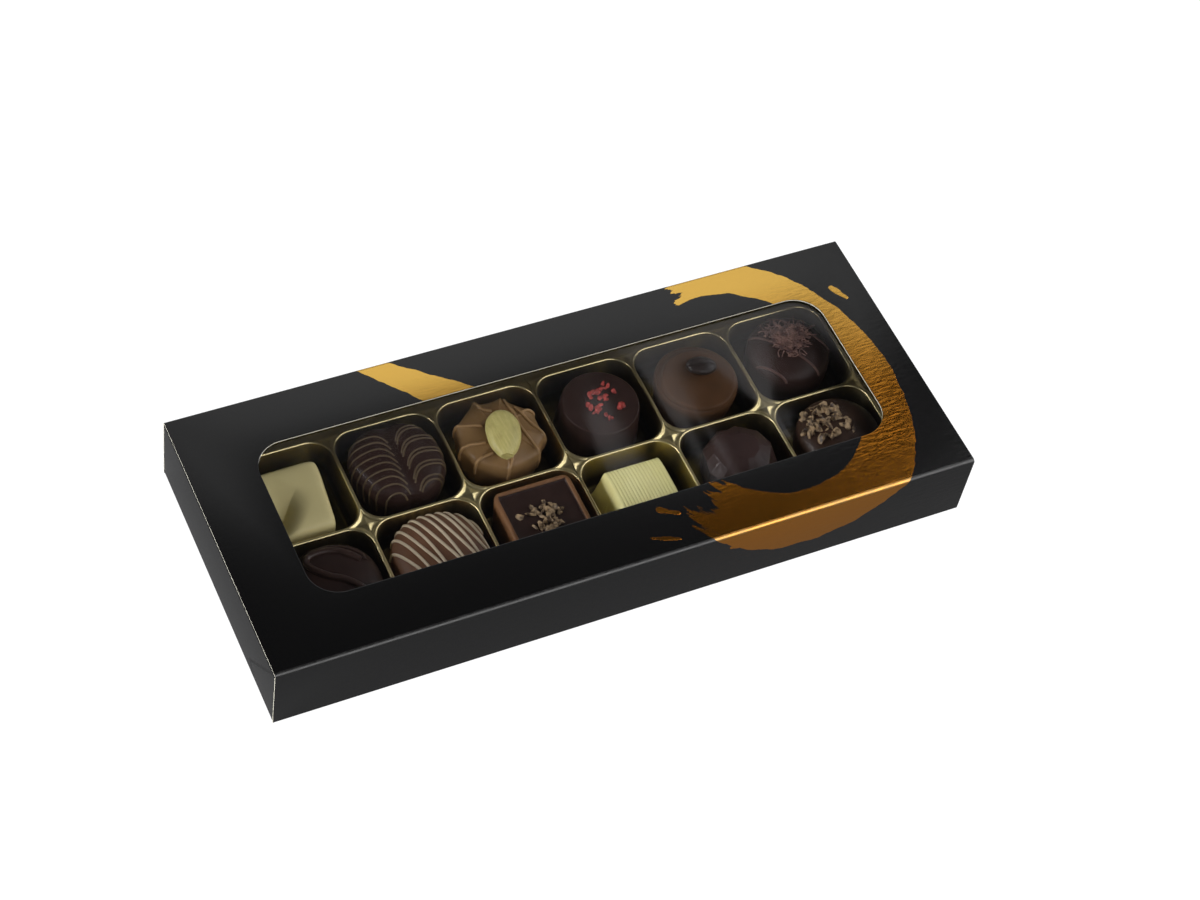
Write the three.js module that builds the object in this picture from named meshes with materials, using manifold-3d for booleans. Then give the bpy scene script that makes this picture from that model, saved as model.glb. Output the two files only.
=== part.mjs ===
// A shut carton with a clear window, and in it two gold trays that hold twelve different pralines.
// Millimetres, +Z up. X runs along the long side, Y to the back, and the origin is the middle of the base.
import * as THREE from 'three';
import { mergeVertices } from 'three/addons/utils/BufferGeometryUtils.js';
import Module from 'manifold-3d';

const wasm = await Module();
wasm.setup();

// Driving dimensions
const carton = { length: 236, depth: 98, height: 26.4, board: 0.6, crease: 1.1, fold: 1.6, tongue: 12 };
const pane = { left: -97, right: 99.2, front: -28.2, rear: 30.4, corner: 10, lap: 4, film: 0.2 };
const tray = {
  columns: 3, rows: 2, pitchX: 34.75, pitchY: 35.4, wall: 0.5, crest: 15, flange: 13.4,
  rib: 1.55, corner: 7.2, draft: 0.08, skirtCorner: 5, endPlay: 0.8,
};
const gap = 0.3;
const ridgeDrop = 0.4;
const footRounding = 0.8;
const arcSteps = 4;
const seed = 1207;
const goldenTurn = 2.4;

// Heights that follow from the board, the tray and the gaps between them
const trayFoot = carton.board + gap;
const trayFloor = trayFoot + tray.wall;
const seat = trayFloor + gap;
const ceiling = carton.height - carton.board - gap;

const colours = {
  board: 0x141415, gold: 0xb39a4c, film: 0xdfe3e8, white: 0xe3d9ad, cream: 0xe6e2ba, milk: 0x6d4a2c,
  darkMilk: 0x4a3024, dark: 0x2e1d18, almond: 0xd9cf9c, bean: 0x1d1512,
};

const group = new THREE.Group();
const fullTurn = Math.PI * 2;

function addPiece(name, geometry, colour, roughness, metalness = 0) {
  const material = new THREE.MeshStandardMaterial({ color: colour, roughness, metalness });
  const mesh = new THREE.Mesh(geometry, material);
  mesh.name = name;
  group.add(mesh);
  return mesh;
}

function solidOf(geometry) {
  const bare = geometry.clone();
  bare.deleteAttribute('normal');
  bare.deleteAttribute('uv');
  const merged = mergeVertices(bare, 1e-4);
  return new wasm.Manifold(new wasm.Mesh({
    numProp: 3,
    vertProperties: new Float32Array(merged.attributes.position.array),
    triVerts: new Uint32Array(merged.index.array),
  }));
}

function geometryOf(solid) {
  const mesh = solid.getMesh();
  const geometry = new THREE.BufferGeometry();
  geometry.setAttribute('position', new THREE.BufferAttribute(new Float32Array(mesh.vertProperties), 3));
  geometry.setIndex(new THREE.BufferAttribute(new Uint32Array(mesh.triVerts), 1));
  geometry.computeVertexNormals();
  return geometry;
}

// Random numbers that are the same each run
function randomFrom(start) {
  let state = start;
  return () => {
    state = (state * 1664525 + 1013904223) % 4294967296;
    return state / 4294967296;
  };
}

// A closed body through rings of equally many points, counter-clockwise from above, from the foot to the top
function loft(rings) {
  const count = rings[0].length;
  const last = (rings.length - 1) * count;
  const points = rings.flat();
  const faces = [];
  for (let start = 0; start < last; start += count) {
    for (let i = 0; i < count; i++) {
      const a = start + i;
      const b = start + (i + 1) % count;
      faces.push(a, b, b + count, a, b + count, a + count);
    }
  }
  const middle = (ring) => ring.reduce((sum, p) => sum.add(p), new THREE.Vector3()).divideScalar(count);
  const foot = points.push(middle(rings[0])) - 1;
  const top = points.push(middle(rings[rings.length - 1])) - 1;
  for (let i = 0; i < count; i++) {
    const next = (i + 1) % count;
    faces.push(foot, next, i, top, last + i, last + next);
  }
  const geometry = new THREE.BufferGeometry().setFromPoints(points);
  geometry.setIndex(faces);
  geometry.computeVertexNormals();
  return geometry;
}

function roundedRing(centre, halfX, halfY, radius, z) {
  const ring = [];
  for (let quarter = 0; quarter < 4; quarter++) {
    const turn = quarter * Math.PI / 2;
    const cornerX = centre.x + (quarter === 0 || quarter === 3 ? 1 : -1) * (halfX - radius);
    const cornerY = centre.y + (quarter < 2 ? 1 : -1) * (halfY - radius);
    for (let i = 0; i <= arcSteps; i++) {
      const angle = turn + i / arcSteps * Math.PI / 2;
      ring.push(new THREE.Vector3(cornerX + radius * Math.cos(angle), cornerY + radius * Math.sin(angle), z));
    }
  }
  return ring;
}

function roundedShape(left, right, low, high, radius) {
  const shape = new THREE.Shape();
  shape.moveTo(left + radius, low);
  shape.lineTo(right - radius, low);
  shape.absarc(right - radius, low + radius, radius, -Math.PI / 2, 0);
  shape.lineTo(right, high - radius);
  shape.absarc(right - radius, high - radius, radius, 0, Math.PI / 2);
  shape.lineTo(left + radius, high);
  shape.absarc(left + radius, high - radius, radius, Math.PI / 2, Math.PI);
  shape.lineTo(left, low + radius);
  shape.absarc(left + radius, low + radius, radius, Math.PI, Math.PI * 1.5);
  return shape;
}

function boxSolid(minimum, maximum) {
  const size = new THREE.Vector3().subVectors(maximum, minimum);
  const box = new THREE.BoxGeometry(size.x, size.y, size.z);
  box.translate(minimum.x + size.x / 2, minimum.y + size.y / 2, minimum.z + size.z / 2);
  return solidOf(box);
}

// Carton: a sleeve with a window in its top, and at each end a flap that folds up from the bottom panel
function sleeveSolid() {
  const { length, depth, height, board, crease } = carton;
  const section = roundedShape(-depth / 2, depth / 2, 0, height, crease);
  const inside = depth / 2 - board;
  section.holes.push(roundedShape(-inside, inside, board, height - board, crease - board));
  const run = { depth: length, bevelEnabled: false, curveSegments: arcSteps };
  const sleeve = new THREE.ExtrudeGeometry(section, run);
  const alongX = new THREE.Matrix4().makeBasis(
    new THREE.Vector3(0, 1, 0), new THREE.Vector3(0, 0, 1), new THREE.Vector3(1, 0, 0));
  sleeve.applyMatrix4(alongX);
  sleeve.translate(-length / 2, 0, 0);
  return solidOf(sleeve);
}

function windowSolid() {
  const outline = roundedShape(pane.left, pane.right, pane.front, pane.rear, pane.corner);
  const cutHeight = carton.board * 4;
  const run = { depth: cutHeight, bevelEnabled: false, curveSegments: arcSteps + 2 };
  const cut = new THREE.ExtrudeGeometry(outline, run);
  cut.translate(0, 0, carton.height - cutHeight / 2);
  return solidOf(cut);
}

// The flap is drawn for the right end, as a strip of board that turns up and then in under the top panel
function flapSolid(side) {
  const { length, depth, board, crease, fold, tongue } = carton;
  const end = length / 2;
  const bend = crease + board;
  const strip = new THREE.Shape();
  strip.moveTo(end - fold - bend, 0);
  strip.lineTo(end - bend, 0);
  strip.absarc(end - bend, bend, bend, -Math.PI / 2, 0);
  strip.lineTo(end, ceiling - bend);
  strip.absarc(end - bend, ceiling - bend, bend, 0, Math.PI / 2);
  strip.lineTo(end - tongue, ceiling);
  strip.lineTo(end - tongue, ceiling - board);
  strip.lineTo(end - bend, ceiling - board);
  strip.absarc(end - bend, ceiling - bend, crease, Math.PI / 2, 0, true);
  strip.lineTo(end - board, bend);
  strip.absarc(end - bend, bend, crease, 0, -Math.PI / 2, true);
  strip.lineTo(end - fold - bend, board);
  const width = depth - 2 * (board + gap);
  const run = { depth: width, bevelEnabled: false, curveSegments: arcSteps };
  const flap = new THREE.ExtrudeGeometry(strip, run);
  const acrossY = new THREE.Matrix4().makeBasis(
    new THREE.Vector3(1, 0, 0), new THREE.Vector3(0, 0, 1), new THREE.Vector3(0, -1, 0));
  flap.applyMatrix4(acrossY);
  flap.translate(0, width / 2, 0);
  const solid = solidOf(flap);
  return side > 0 ? solid : solid.rotate([0, 0, 180]);
}

function foldRoom(side) {
  const { length, depth, board, crease, fold } = carton;
  const inner = length / 2 - fold - crease;
  const outer = length / 2 + 1;
  const half = depth / 2 - board;
  const xs = side > 0 ? [inner, outer] : [-outer, -inner];
  return boxSolid(new THREE.Vector3(xs[0], -half, -1), new THREE.Vector3(xs[1], half, board + gap));
}

function buildCarton() {
  let body = sleeveSolid().subtract(windowSolid());
  for (const side of [-1, 1]) body = body.subtract(foldRoom(side)).add(flapSolid(side));
  addPiece('carton', geometryOf(body), colours.board, 0.35);
}

function buildFilm() {
  const length = pane.right - pane.left + 2 * pane.lap;
  const depth = pane.rear - pane.front + 2 * pane.lap;
  const film = new THREE.BoxGeometry(length, depth, pane.film);
  const mesh = addPiece('window_film', film, colours.film, 0.05);
  mesh.position.set((pane.left + pane.right) / 2, (pane.front + pane.rear) / 2, ceiling - pane.film / 2);
}

// Cells are counted from 0 at the left and at the front
function cellCentre(column, row) {
  const x = (column - tray.columns + 0.5) * tray.pitchX;
  const y = (row - tray.rows / 2 + 0.5) * tray.pitchY;
  return new THREE.Vector3(x, y, 0);
}

// How far neighbouring cups run into each other, so that they join in one sheet
const sharedRib = 0.03;

// One cup, either its outer skin (grow = wall) or the room inside it (grow = 0)
function cupSolid(centre, grow) {
  const { pitchX, pitchY, rib, crest, draft, corner } = tray;
  const topX = (pitchX - rib) / 2;
  const topY = (pitchY - rib) / 2;
  const rings = [];
  const ring = (z, spread) => {
    rings.push(roundedRing(centre, topX + spread, topY + spread, corner + spread, z));
  };
  const lean = (z) => -(crest - z) * draft + grow;
  const foot = grow > 0 ? trayFoot : trayFloor;
  if (grow > 0) {
    ring(foot, lean(foot));
    ring(tray.flange - tray.wall, lean(tray.flange - tray.wall));
    ring(tray.flange - tray.wall / 2, rib / 2 + sharedRib);
    ring(crest, rib / 2 + sharedRib);
  } else {
    ring(foot, lean(foot) - footRounding);
    ring(foot + footRounding, lean(foot + footRounding));
    ring(crest - ridgeDrop, lean(crest - ridgeDrop));
    ring(crest + ridgeDrop, ridgeDrop);
  }
  return solidOf(loft(rings));
}

// Flange and skirt: a shallow hood open below, whose inner end is cut off square at the joint of the trays
function hoodSolid(side) {
  const room = carton.length / 2 - carton.board - tray.endPlay;
  const halfY = carton.depth / 2 - carton.board - gap;
  const reach = 2 * tray.skirtCorner;
  const centre = new THREE.Vector3(side * (room - reach) / 2, 0, 0);
  const halfX = (room + reach) / 2;
  const layer = (inset, low, high) => solidOf(loft([
    roundedRing(centre, halfX - inset, halfY - inset, tray.skirtCorner - inset, low),
    roundedRing(centre, halfX - inset, halfY - inset, tray.skirtCorner - inset, high),
  ]));
  const outer = layer(0, trayFoot, tray.flange);
  const inner = layer(tray.wall, trayFoot - 1, tray.flange - tray.wall);
  return outer.subtract(inner);
}

function buildTray(name, side) {
  const first = side < 0 ? 0 : tray.columns;
  let body = hoodSolid(side);
  const rooms = [];
  for (let column = first; column < first + tray.columns; column++) {
    for (let row = 0; row < tray.rows; row++) {
      body = body.add(cupSolid(cellCentre(column, row), tray.wall));
      rooms.push(cupSolid(cellCentre(column, row), 0));
    }
  }
  for (const room of rooms) body = body.subtract(room);
  const far = carton.length;
  const xs = side < 0 ? [-far, -gap] : [gap, far];
  const keep = boxSolid(new THREE.Vector3(xs[0], -far, -far), new THREE.Vector3(xs[1], far, far));
  addPiece(name, geometryOf(body.intersect(keep)), colours.gold, 0.25, 1);
}

// A moulded sweet: each level gives how much of the outline and of the height it reaches, from foot to top
function moulded({ sectors, levels, outline, height, relief = () => 0 }) {
  const rings = levels.map(([spread, lift]) => {
    const ring = [];
    for (let i = 0; i < sectors; i++) {
      const angle = i / sectors * fullTurn;
      const radius = outline(angle, lift) * spread;
      const x = radius * Math.cos(angle);
      const y = radius * Math.sin(angle);
      ring.push(new THREE.Vector3(x, y, height * lift + relief(x, y, lift, angle)));
    }
    return ring;
  });
  return loft(rings);
}

// Levels of a dome: a side that stands up to its shoulder, then a crown that rounds over
function domeLevels(footSpread, shoulder, crownSteps, fullness) {
  const levels = [[footSpread, 0], [1, shoulder * 0.55], [1, shoulder]];
  for (let i = 1; i <= crownSteps; i++) {
    const angle = i / (crownSteps + 1) * Math.PI / 2;
    levels.push([Math.cos(angle) ** fullness, shoulder + (1 - shoulder) * Math.sin(angle) ** fullness]);
  }
  levels.push([0.05, 1]);
  return levels;
}

function superEllipse(halfX, halfY, power) {
  return (angle) => {
    const along = Math.abs(Math.cos(angle) / halfX) ** power;
    const across = Math.abs(Math.sin(angle) / halfY) ** power;
    return (along + across) ** (-1 / power);
  };
}

// Rough bits, each a squashed and turned octahedron whose middle lies at the surface that it is stuck to
function scatterBits(body, { count, size, place, random, flatness = 0.7 }) {
  let joined = body;
  for (let i = 0; i < count; i++) {
    const [x, y, z] = place(i, random);
    const bit = new THREE.OctahedronGeometry(size * (0.75 + 0.7 * random()) / 2, 0);
    bit.scale(1.3, 0.6 + 0.5 * random(), flatness);
    bit.rotateZ(random() * fullTurn);
    bit.rotateX((random() - 0.5) * 0.9);
    bit.translate(x, y, z);
    joined = joined.add(solidOf(bit));
  }
  return joined;
}

function placeSweet(name, column, row, geometry, colour, offset = [0, 0], roughness = 0.4) {
  const mesh = addPiece(name, geometry, colour, roughness);
  const centre = cellCentre(column, row);
  mesh.position.set(centre.x + offset[0], centre.y + offset[1], seat);
}

// Rear row, from the left
function whiteFold() {
  const size = { halfX: 11.9, halfY: 12.6, height: 15.4 };
  const crease = { fromX: 2.4, fromY: 4.6, toX: -7.4, toY: -7.5, depth: 3.4, spread: 3.2 };
  const run = Math.hypot(crease.toX - crease.fromX, crease.toY - crease.fromY);
  const dirX = (crease.toX - crease.fromX) / run;
  const dirY = (crease.toY - crease.fromY) / run;
  const relief = (x, y, lift) => {
    if (lift < 0.6) return 0;
    const along = (x - crease.fromX) * dirX + (y - crease.fromY) * dirY;
    const aside = (x - crease.fromX) * -dirY + (y - crease.fromY) * dirX;
    const grown = THREE.MathUtils.clamp(along / run, 0, 1.2);
    const valley = aside > 0 ? Math.exp(-((aside / crease.spread) ** 2)) : Math.exp(aside * 2);
    const fall = THREE.MathUtils.smoothstep(-y, -size.halfY, size.halfY) * 1.8;
    return (-crease.depth * grown * valley - fall) * THREE.MathUtils.smoothstep(lift, 0.6, 0.95);
  };
  const levels = [
    [0.94, 0], [1, 0.35], [0.99, 0.7], [0.95, 0.86], [0.86, 0.96],
    [0.72, 0.99], [0.56, 1], [0.4, 1], [0.24, 1], [0.1, 1],
  ];
  const outline = superEllipse(size.halfX, size.halfY, 4);
  const tapered = (angle) => outline(angle) * (1 + 0.05 * Math.sin(angle));
  placeSweet('praline_white_fold', 0, 1, moulded({
    sectors: 32, levels, outline: tapered, height: size.height, relief,
  }), colours.white, [-0.4, -2.7], 0.35);
}

function feather() {
  const size = { halfX: 15.1, halfY: 15.6, height: 17.4, notch: 2.2, vein: 1.1 };
  const oval = superEllipse(size.halfX, size.halfY, 2.25);
  const dip = (angle, at, width) => {
    const away = Math.atan2(Math.sin(angle - at), Math.cos(angle - at));
    return Math.exp(-((away / width) ** 2));
  };
  const outline = (angle) => oval(angle) - size.notch * dip(angle, -1.6, 0.2) - 0.9 * dip(angle, 1.3, 0.25);
  const relief = (x, y, lift) => {
    const veinX = 0.1 * y + 1.2;
    const valley = Math.exp(-(((x - veinX) / 2.6) ** 2));
    return -size.vein * valley * THREE.MathUtils.smoothstep(lift, 0.7, 0.95);
  };
  const levels = [
    [0.9, 0], [0.96, 0.3], [1, 0.62], [0.98, 0.78], [0.92, 0.88],
    [0.78, 0.95], [0.55, 0.99], [0.3, 1], [0.08, 1],
  ];
  placeSweet('praline_feather', 1, 1, moulded({
    sectors: 34, levels, outline, height: size.height, relief,
  }), colours.dark, [-0.1, 0.6]);
}

const pleatedTop = 15;

function pleated() {
  const size = { radius: 15, pleats: 10, fold: 1.1 };
  const saw = (angle) => {
    const share = angle * size.pleats / fullTurn;
    const rise = share - Math.floor(share);
    return rise < 0.75 ? rise / 0.75 : (1 - rise) / 0.25;
  };
  const outline = (angle) => size.radius - size.fold + size.fold * saw(angle);
  const relief = (x, y, lift, angle) => {
    const out = Math.hypot(x, y) / size.radius;
    const ring = THREE.MathUtils.smoothstep(out, 0.35, 0.75) * THREE.MathUtils.smoothstep(lift, 0.5, 0.9);
    return ring * (0.5 + 0.8 * (saw(angle) - 0.5));
  };
  const levels = [
    [0.93, 0], [1, 0.4], [1, 0.7], [0.95, 0.84], [0.82, 0.94], [0.62, 0.99], [0.4, 1], [0.1, 1],
  ];
  placeSweet('praline_pleated', 2, 1, moulded({
    sectors: 40, levels, outline, height: pleatedTop, relief,
  }), colours.milk, [0.5, 0.9]);
}

function almond() {
  const size = { length: 19, width: 12, thickness: 6 };
  const stations = 9;
  const sides = 14;
  const rings = [];
  for (let i = 0; i < stations; i++) {
    const share = (i + 0.5) / stations;
    const around = Math.sqrt(1 - (2 * share - 1) ** 2);
    const taper = 1.08 - 0.42 * (1 - share) ** 1.6;
    const ring = [];
    for (let k = 0; k < sides; k++) {
      const angle = k / sides * fullTurn;
      const across = size.width / 2 * around * taper * Math.cos(angle);
      const up = size.thickness / 2 * around ** 0.8 * Math.sin(angle);
      ring.push(new THREE.Vector3(across, up, (share - 0.5) * size.length));
    }
    rings.push(ring);
  }
  const nut = loft(rings);
  nut.rotateX(-Math.PI / 2);
  nut.rotateZ(Math.PI);
  nut.rotateZ(-0.16);
  const mesh = addPiece('almond', nut, colours.almond, 0.5);
  const centre = cellCentre(2, 1);
  mesh.position.set(centre.x - 0.4, centre.y - 3.2, seat + pleatedTop + gap + size.thickness / 2);
}

function redCrumb() {
  const size = { radius: 13.8, height: 15.7, rim: 12.5 };
  const crumbs = { count: 14, size: 2.7, spread: 5.6, x: 0.8, y: 1.4, sunk: 0.35 };
  const rim = size.rim / size.radius;
  const levels = [[0.98, 0], [1, 0.12], [0.96, 0.6], [rim + 0.015, 0.96], [rim - 0.015, 0.99], [0.3, 1.005]];
  const disc = moulded({ sectors: 32, levels, outline: () => size.radius, height: size.height });
  const random = randomFrom(seed + 1);
  const body = scatterBits(solidOf(disc), {
    count: crumbs.count, size: crumbs.size, random, flatness: 0.55,
    place: (i, draw) => {
      const angle = i * goldenTurn;
      const reach = 1.2 + crumbs.spread * Math.sqrt(i / crumbs.count) + draw();
      const x = crumbs.x + reach * Math.cos(angle);
      const y = crumbs.y + 0.85 * reach * Math.sin(angle);
      return [x, y, size.height + crumbs.sunk];
    },
  });
  placeSweet('praline_red_crumb', 3, 1, geometryOf(body), colours.dark, [0.2, 0]);
}

const cupTop = 15.1;

function cup() {
  const size = { radius: 13.9, ledge: 0.9, disc: 0.82 };
  const levels = [
    [0.86, 0], [0.94, 0.3], [1, 0.7], [1, 0.8], [0.96, 0.86], [size.ledge, 0.87], [size.disc, 0.93],
    [size.disc - 0.1, 0.97], [0.4, 1], [0.1, 1],
  ];
  placeSweet('praline_cup', 4, 1, moulded({
    sectors: 32, levels, outline: () => size.radius, height: cupTop,
  }), colours.milk, [0.6, 0.4]);
}

function coffeeBean() {
  const size = { length: 10.4, width: 7, thickness: 4.2, furrow: 0.7 };
  const bean = new THREE.SphereGeometry(0.5, 14, 8);
  const place = bean.attributes.position;
  for (let i = 0; i < place.count; i++) {
    const x = place.getX(i);
    const y = place.getY(i);
    const z = place.getZ(i);
    const upper = z > 0 ? 1 : 0;
    const furrow = upper * size.furrow * Math.exp(-((y / 0.08) ** 2)) * (1 - 4 * x * x);
    place.setXYZ(i, x * size.length, y * size.width, z * size.thickness - furrow);
  }
  bean.rotateZ(-0.35);
  const mesh = addPiece('coffee_bean', geometryOf(solidOf(bean)), colours.bean, 0.35);
  const centre = cellCentre(4, 1);
  mesh.position.set(centre.x + 2.4, centre.y + 1.8, seat + cupTop + gap + size.thickness / 2);
}

function petal() {
  const size = { radius: 14, height: 17.2, fin: 0.8, finWidth: 0.9, finSpacing: 9.2, finTurn: -0.9 };
  const crumbs = { count: 20, size: 2.6, spread: 7.6, x: -2, y: 3 };
  const levels = domeLevels(0.95, 0.66, 5, 0.75);
  const relief = (x, y, lift) => {
    const across = -x * Math.sin(size.finTurn) + y * Math.cos(size.finTurn);
    const nearest = across - Math.round(across / size.finSpacing) * size.finSpacing;
    const height = size.fin * Math.exp(-((nearest / size.finWidth) ** 2));
    return height * THREE.MathUtils.smoothstep(lift, 0.7, 0.9);
  };
  const dome = moulded({ sectors: 30, levels, outline: () => size.radius, height: size.height, relief });
  const random = randomFrom(seed + 2);
  const body = scatterBits(solidOf(dome), {
    count: crumbs.count, size: crumbs.size, random, flatness: 0.4,
    place: (i, draw) => {
      const angle = i * goldenTurn;
      const reach = crumbs.spread * Math.sqrt((i + 0.5) / crumbs.count) + draw() - 0.5;
      const x = crumbs.x + reach * Math.cos(angle);
      const y = crumbs.y + 0.8 * reach * Math.sin(angle);
      const out = Math.hypot(x, y) / size.radius;
      return [x, y, size.height * (1.01 - 0.16 * out * out)];
    },
  });
  placeSweet('praline_petal', 5, 1, geometryOf(body), colours.dark, [0.6, 1.4]);
}

// Front row, from the left
function swirl() {
  const size = { halfX: 14.6, halfY: 14.8, height: 16.8 };
  const loop = { x: -2.4, y: 3.4, halfX: 9.6, halfY: 5.6, bead: 1.1, wide: 1.1 };
  const relief = (x, y, lift) => {
    const u = (x - loop.x) / loop.halfX;
    const v = (y - loop.y) / loop.halfY;
    const off = (Math.hypot(u, v) - 1) * (loop.halfX + loop.halfY) / 2;
    return loop.bead * Math.exp(-((off / loop.wide) ** 2)) * THREE.MathUtils.smoothstep(lift, 0.75, 0.92);
  };
  placeSweet('praline_swirl', 0, 0, moulded({
    sectors: 32, levels: domeLevels(0.93, 0.6, 8, 0.85),
    outline: superEllipse(size.halfX, size.halfY, 2.2), height: size.height, relief,
  }), colours.dark, [0.6, 0.5]);
}

function striped() {
  const size = { halfX: 15.1, halfY: 14.8, height: 16.8 };
  placeSweet('praline_striped', 1, 0, moulded({
    sectors: 32, levels: domeLevels(0.94, 0.56, 5, 0.8),
    outline: superEllipse(size.halfX, size.halfY, 2.3), height: size.height,
  }), colours.milk, [0.4, 0.7]);
}

// Nibs lie in a heap round a middle, the later ones further out
function nibPlace({ count, spreadX, spreadY, middle }, height) {
  return (i, draw) => {
    const angle = i * goldenTurn + draw();
    const share = Math.sqrt((i + 0.5) / count);
    const x = middle[0] + spreadX * share * Math.cos(angle);
    const y = middle[1] + spreadY * share * Math.sin(angle);
    return [x, y, height(x, y) + 0.5 * (1 - share)];
  };
}

function squareCup() {
  const size = { half: 13, corner: 2.6, height: 14.8, rim: 1.5, recess: 0.9, draft: 0.4 };
  const nibs = { count: 15, size: 3.1, spreadX: 6, spreadY: 5, middle: [1.2, -2.2] };
  const middle = new THREE.Vector3();
  const outside = loft([
    roundedRing(middle, size.half - size.draft, size.half - size.draft, size.corner, 0),
    roundedRing(middle, size.half, size.half, size.corner, size.height - 0.4),
    roundedRing(middle, size.half - 0.3, size.half - 0.3, size.corner - 0.3, size.height),
  ]);
  const inner = size.half - size.rim;
  const recess = loft([
    roundedRing(middle, inner - 0.4, inner - 0.4, size.corner - 1.2, size.height - size.recess),
    roundedRing(middle, inner, inner, size.corner - 0.8, size.height + 1),
  ]);
  const random = randomFrom(seed + 3);
  const floor = size.height - size.recess + 0.3;
  const body = scatterBits(solidOf(outside).subtract(solidOf(recess)), {
    count: nibs.count, size: nibs.size, random, place: nibPlace(nibs, () => floor),
  });
  placeSweet('praline_square', 2, 0, geometryOf(body), colours.darkMilk, [0.8, 1]);
}

function ribbed() {
  const size = { halfX: 12.3, topHalfX: 9.6, halfY: 11.4, topHalfY: 9.6, height: 14.4, ribs: 17 };
  const ribDepth = 0.28;
  const steps = 2 * size.ribs;
  const rings = [];
  const section = (x, height, halfY, topHalfY) => {
    const flank = [
      [halfY, 0], [topHalfY, height * 0.86], [topHalfY * 0.86, height * 0.97], [topHalfY * 0.45, height],
    ];
    const right = flank.map(([y, z]) => new THREE.Vector3(y, z, x));
    const left = flank.map(([y, z]) => new THREE.Vector3(-y, z, x)).reverse();
    return [...right, ...left];
  };
  const lowEnd = 0.8;
  rings.push(section(-size.halfX, lowEnd, size.halfY, size.halfY - 0.2));
  for (let i = 0; i <= steps; i++) {
    const x = -size.topHalfX + 2 * size.topHalfX * i / steps;
    const rise = i % 2 === 0 ? -ribDepth : 0;
    rings.push(section(x, size.height + rise, size.halfY + rise, size.topHalfY + rise));
  }
  rings.push(section(size.halfX, lowEnd, size.halfY, size.halfY - 0.2));
  const bar = loft(rings);
  const lay = new THREE.Matrix4().makeBasis(
    new THREE.Vector3(0, 1, 0), new THREE.Vector3(0, 0, 1), new THREE.Vector3(1, 0, 0));
  bar.applyMatrix4(lay);
  placeSweet('praline_ribbed', 3, 0, bar, colours.cream, [0, 1.6]);
}

function gem() {
  const size = { table: 5.5, crown: 9.4, girdle: 12.5, foot: 11.8, height: 17.2, sides: 8 };
  const count = 2 * size.sides;
  const ring = (radius, z, cornersOnly) => {
    const points = [];
    for (let i = 0; i < count; i++) {
      const angle = (i + 0.5) / count * fullTurn;
      const flat = Math.cos(Math.PI / size.sides);
      const between = (i % 2 === 1) === cornersOnly ? flat : 1;
      const reach = radius * between;
      points.push(new THREE.Vector3(reach * Math.cos(angle), reach * Math.sin(angle), z));
    }
    return points;
  };
  const stone = loft([
    ring(size.foot, 0, true),
    ring(size.girdle, size.height * 0.62, true),
    ring(size.crown, size.height * 0.85, false),
    ring(size.table, size.height, true),
  ]);
  placeSweet('praline_gem', 4, 0, stone, colours.dark, [1.3, 3.4], 0.3);
}

function nibDome() {
  const size = { radius: 14, height: 16.8, shoulder: 0.6, fullness: 0.85 };
  const nibs = { count: 16, size: 3.1, spreadX: 7.6, spreadY: 5.4, middle: [-4, 1.6] };
  const levels = domeLevels(0.94, size.shoulder, 5, size.fullness);
  const dome = moulded({ sectors: 30, levels, outline: () => size.radius, height: size.height });
  const random = randomFrom(seed + 4);
  const surface = (x, y) => {
    const out = Math.min(Math.hypot(x, y) / size.radius, 1);
    const crown = Math.sqrt(1 - out * out) ** size.fullness;
    return size.height * (size.shoulder + (1 - size.shoulder) * crown) + 0.2;
  };
  const body = scatterBits(solidOf(dome), {
    count: nibs.count, size: nibs.size, random, place: nibPlace(nibs, surface),
  });
  placeSweet('praline_nib', 5, 0, geometryOf(body), colours.darkMilk, [1.3, 1.2]);
}

buildCarton();
buildFilm();
buildTray('tray_left', -1);
buildTray('tray_right', 1);
whiteFold();
feather();
pleated();
almond();
redCrumb();
cup();
coffeeBean();
petal();
swirl();
striped();
squareCup();
ribbed();
gem();
nibDome();

export default group;
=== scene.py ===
import math
import random

import bmesh
import bpy
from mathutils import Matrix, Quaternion, Vector, noise
from mathutils.bvhtree import BVHTree


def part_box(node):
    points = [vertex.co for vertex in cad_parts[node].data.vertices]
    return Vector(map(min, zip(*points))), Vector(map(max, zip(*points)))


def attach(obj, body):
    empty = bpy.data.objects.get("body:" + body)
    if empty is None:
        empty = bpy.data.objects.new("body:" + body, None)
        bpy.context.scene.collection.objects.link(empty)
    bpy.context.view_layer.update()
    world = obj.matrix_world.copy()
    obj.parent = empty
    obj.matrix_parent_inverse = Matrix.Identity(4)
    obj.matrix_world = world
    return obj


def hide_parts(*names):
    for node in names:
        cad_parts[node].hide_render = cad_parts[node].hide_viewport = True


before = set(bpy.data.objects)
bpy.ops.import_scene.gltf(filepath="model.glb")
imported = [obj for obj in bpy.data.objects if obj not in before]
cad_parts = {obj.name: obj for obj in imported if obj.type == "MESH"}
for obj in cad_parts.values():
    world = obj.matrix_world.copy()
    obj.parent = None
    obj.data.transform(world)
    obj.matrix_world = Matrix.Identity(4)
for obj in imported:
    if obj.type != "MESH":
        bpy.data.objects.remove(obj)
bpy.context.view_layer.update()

scene = bpy.context.scene
mm = 0.001  # shapes are drawn in millimetres, Blender's unit is the metre
fullTurn = 2 * math.pi


# camera, at the viewing angle of the picture

cameraSpec = {
    "place": (-280.3, -432.1, 690.2),  # mm
    "aim": (16.96, 11.49, 0.0),        # mm, the point in the middle of the picture
    "roll": 11.69,                     # degrees, the horizon tips up to the right
    "lens": 80.63,                     # mm
    "sensor": 36.0,
}


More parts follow.
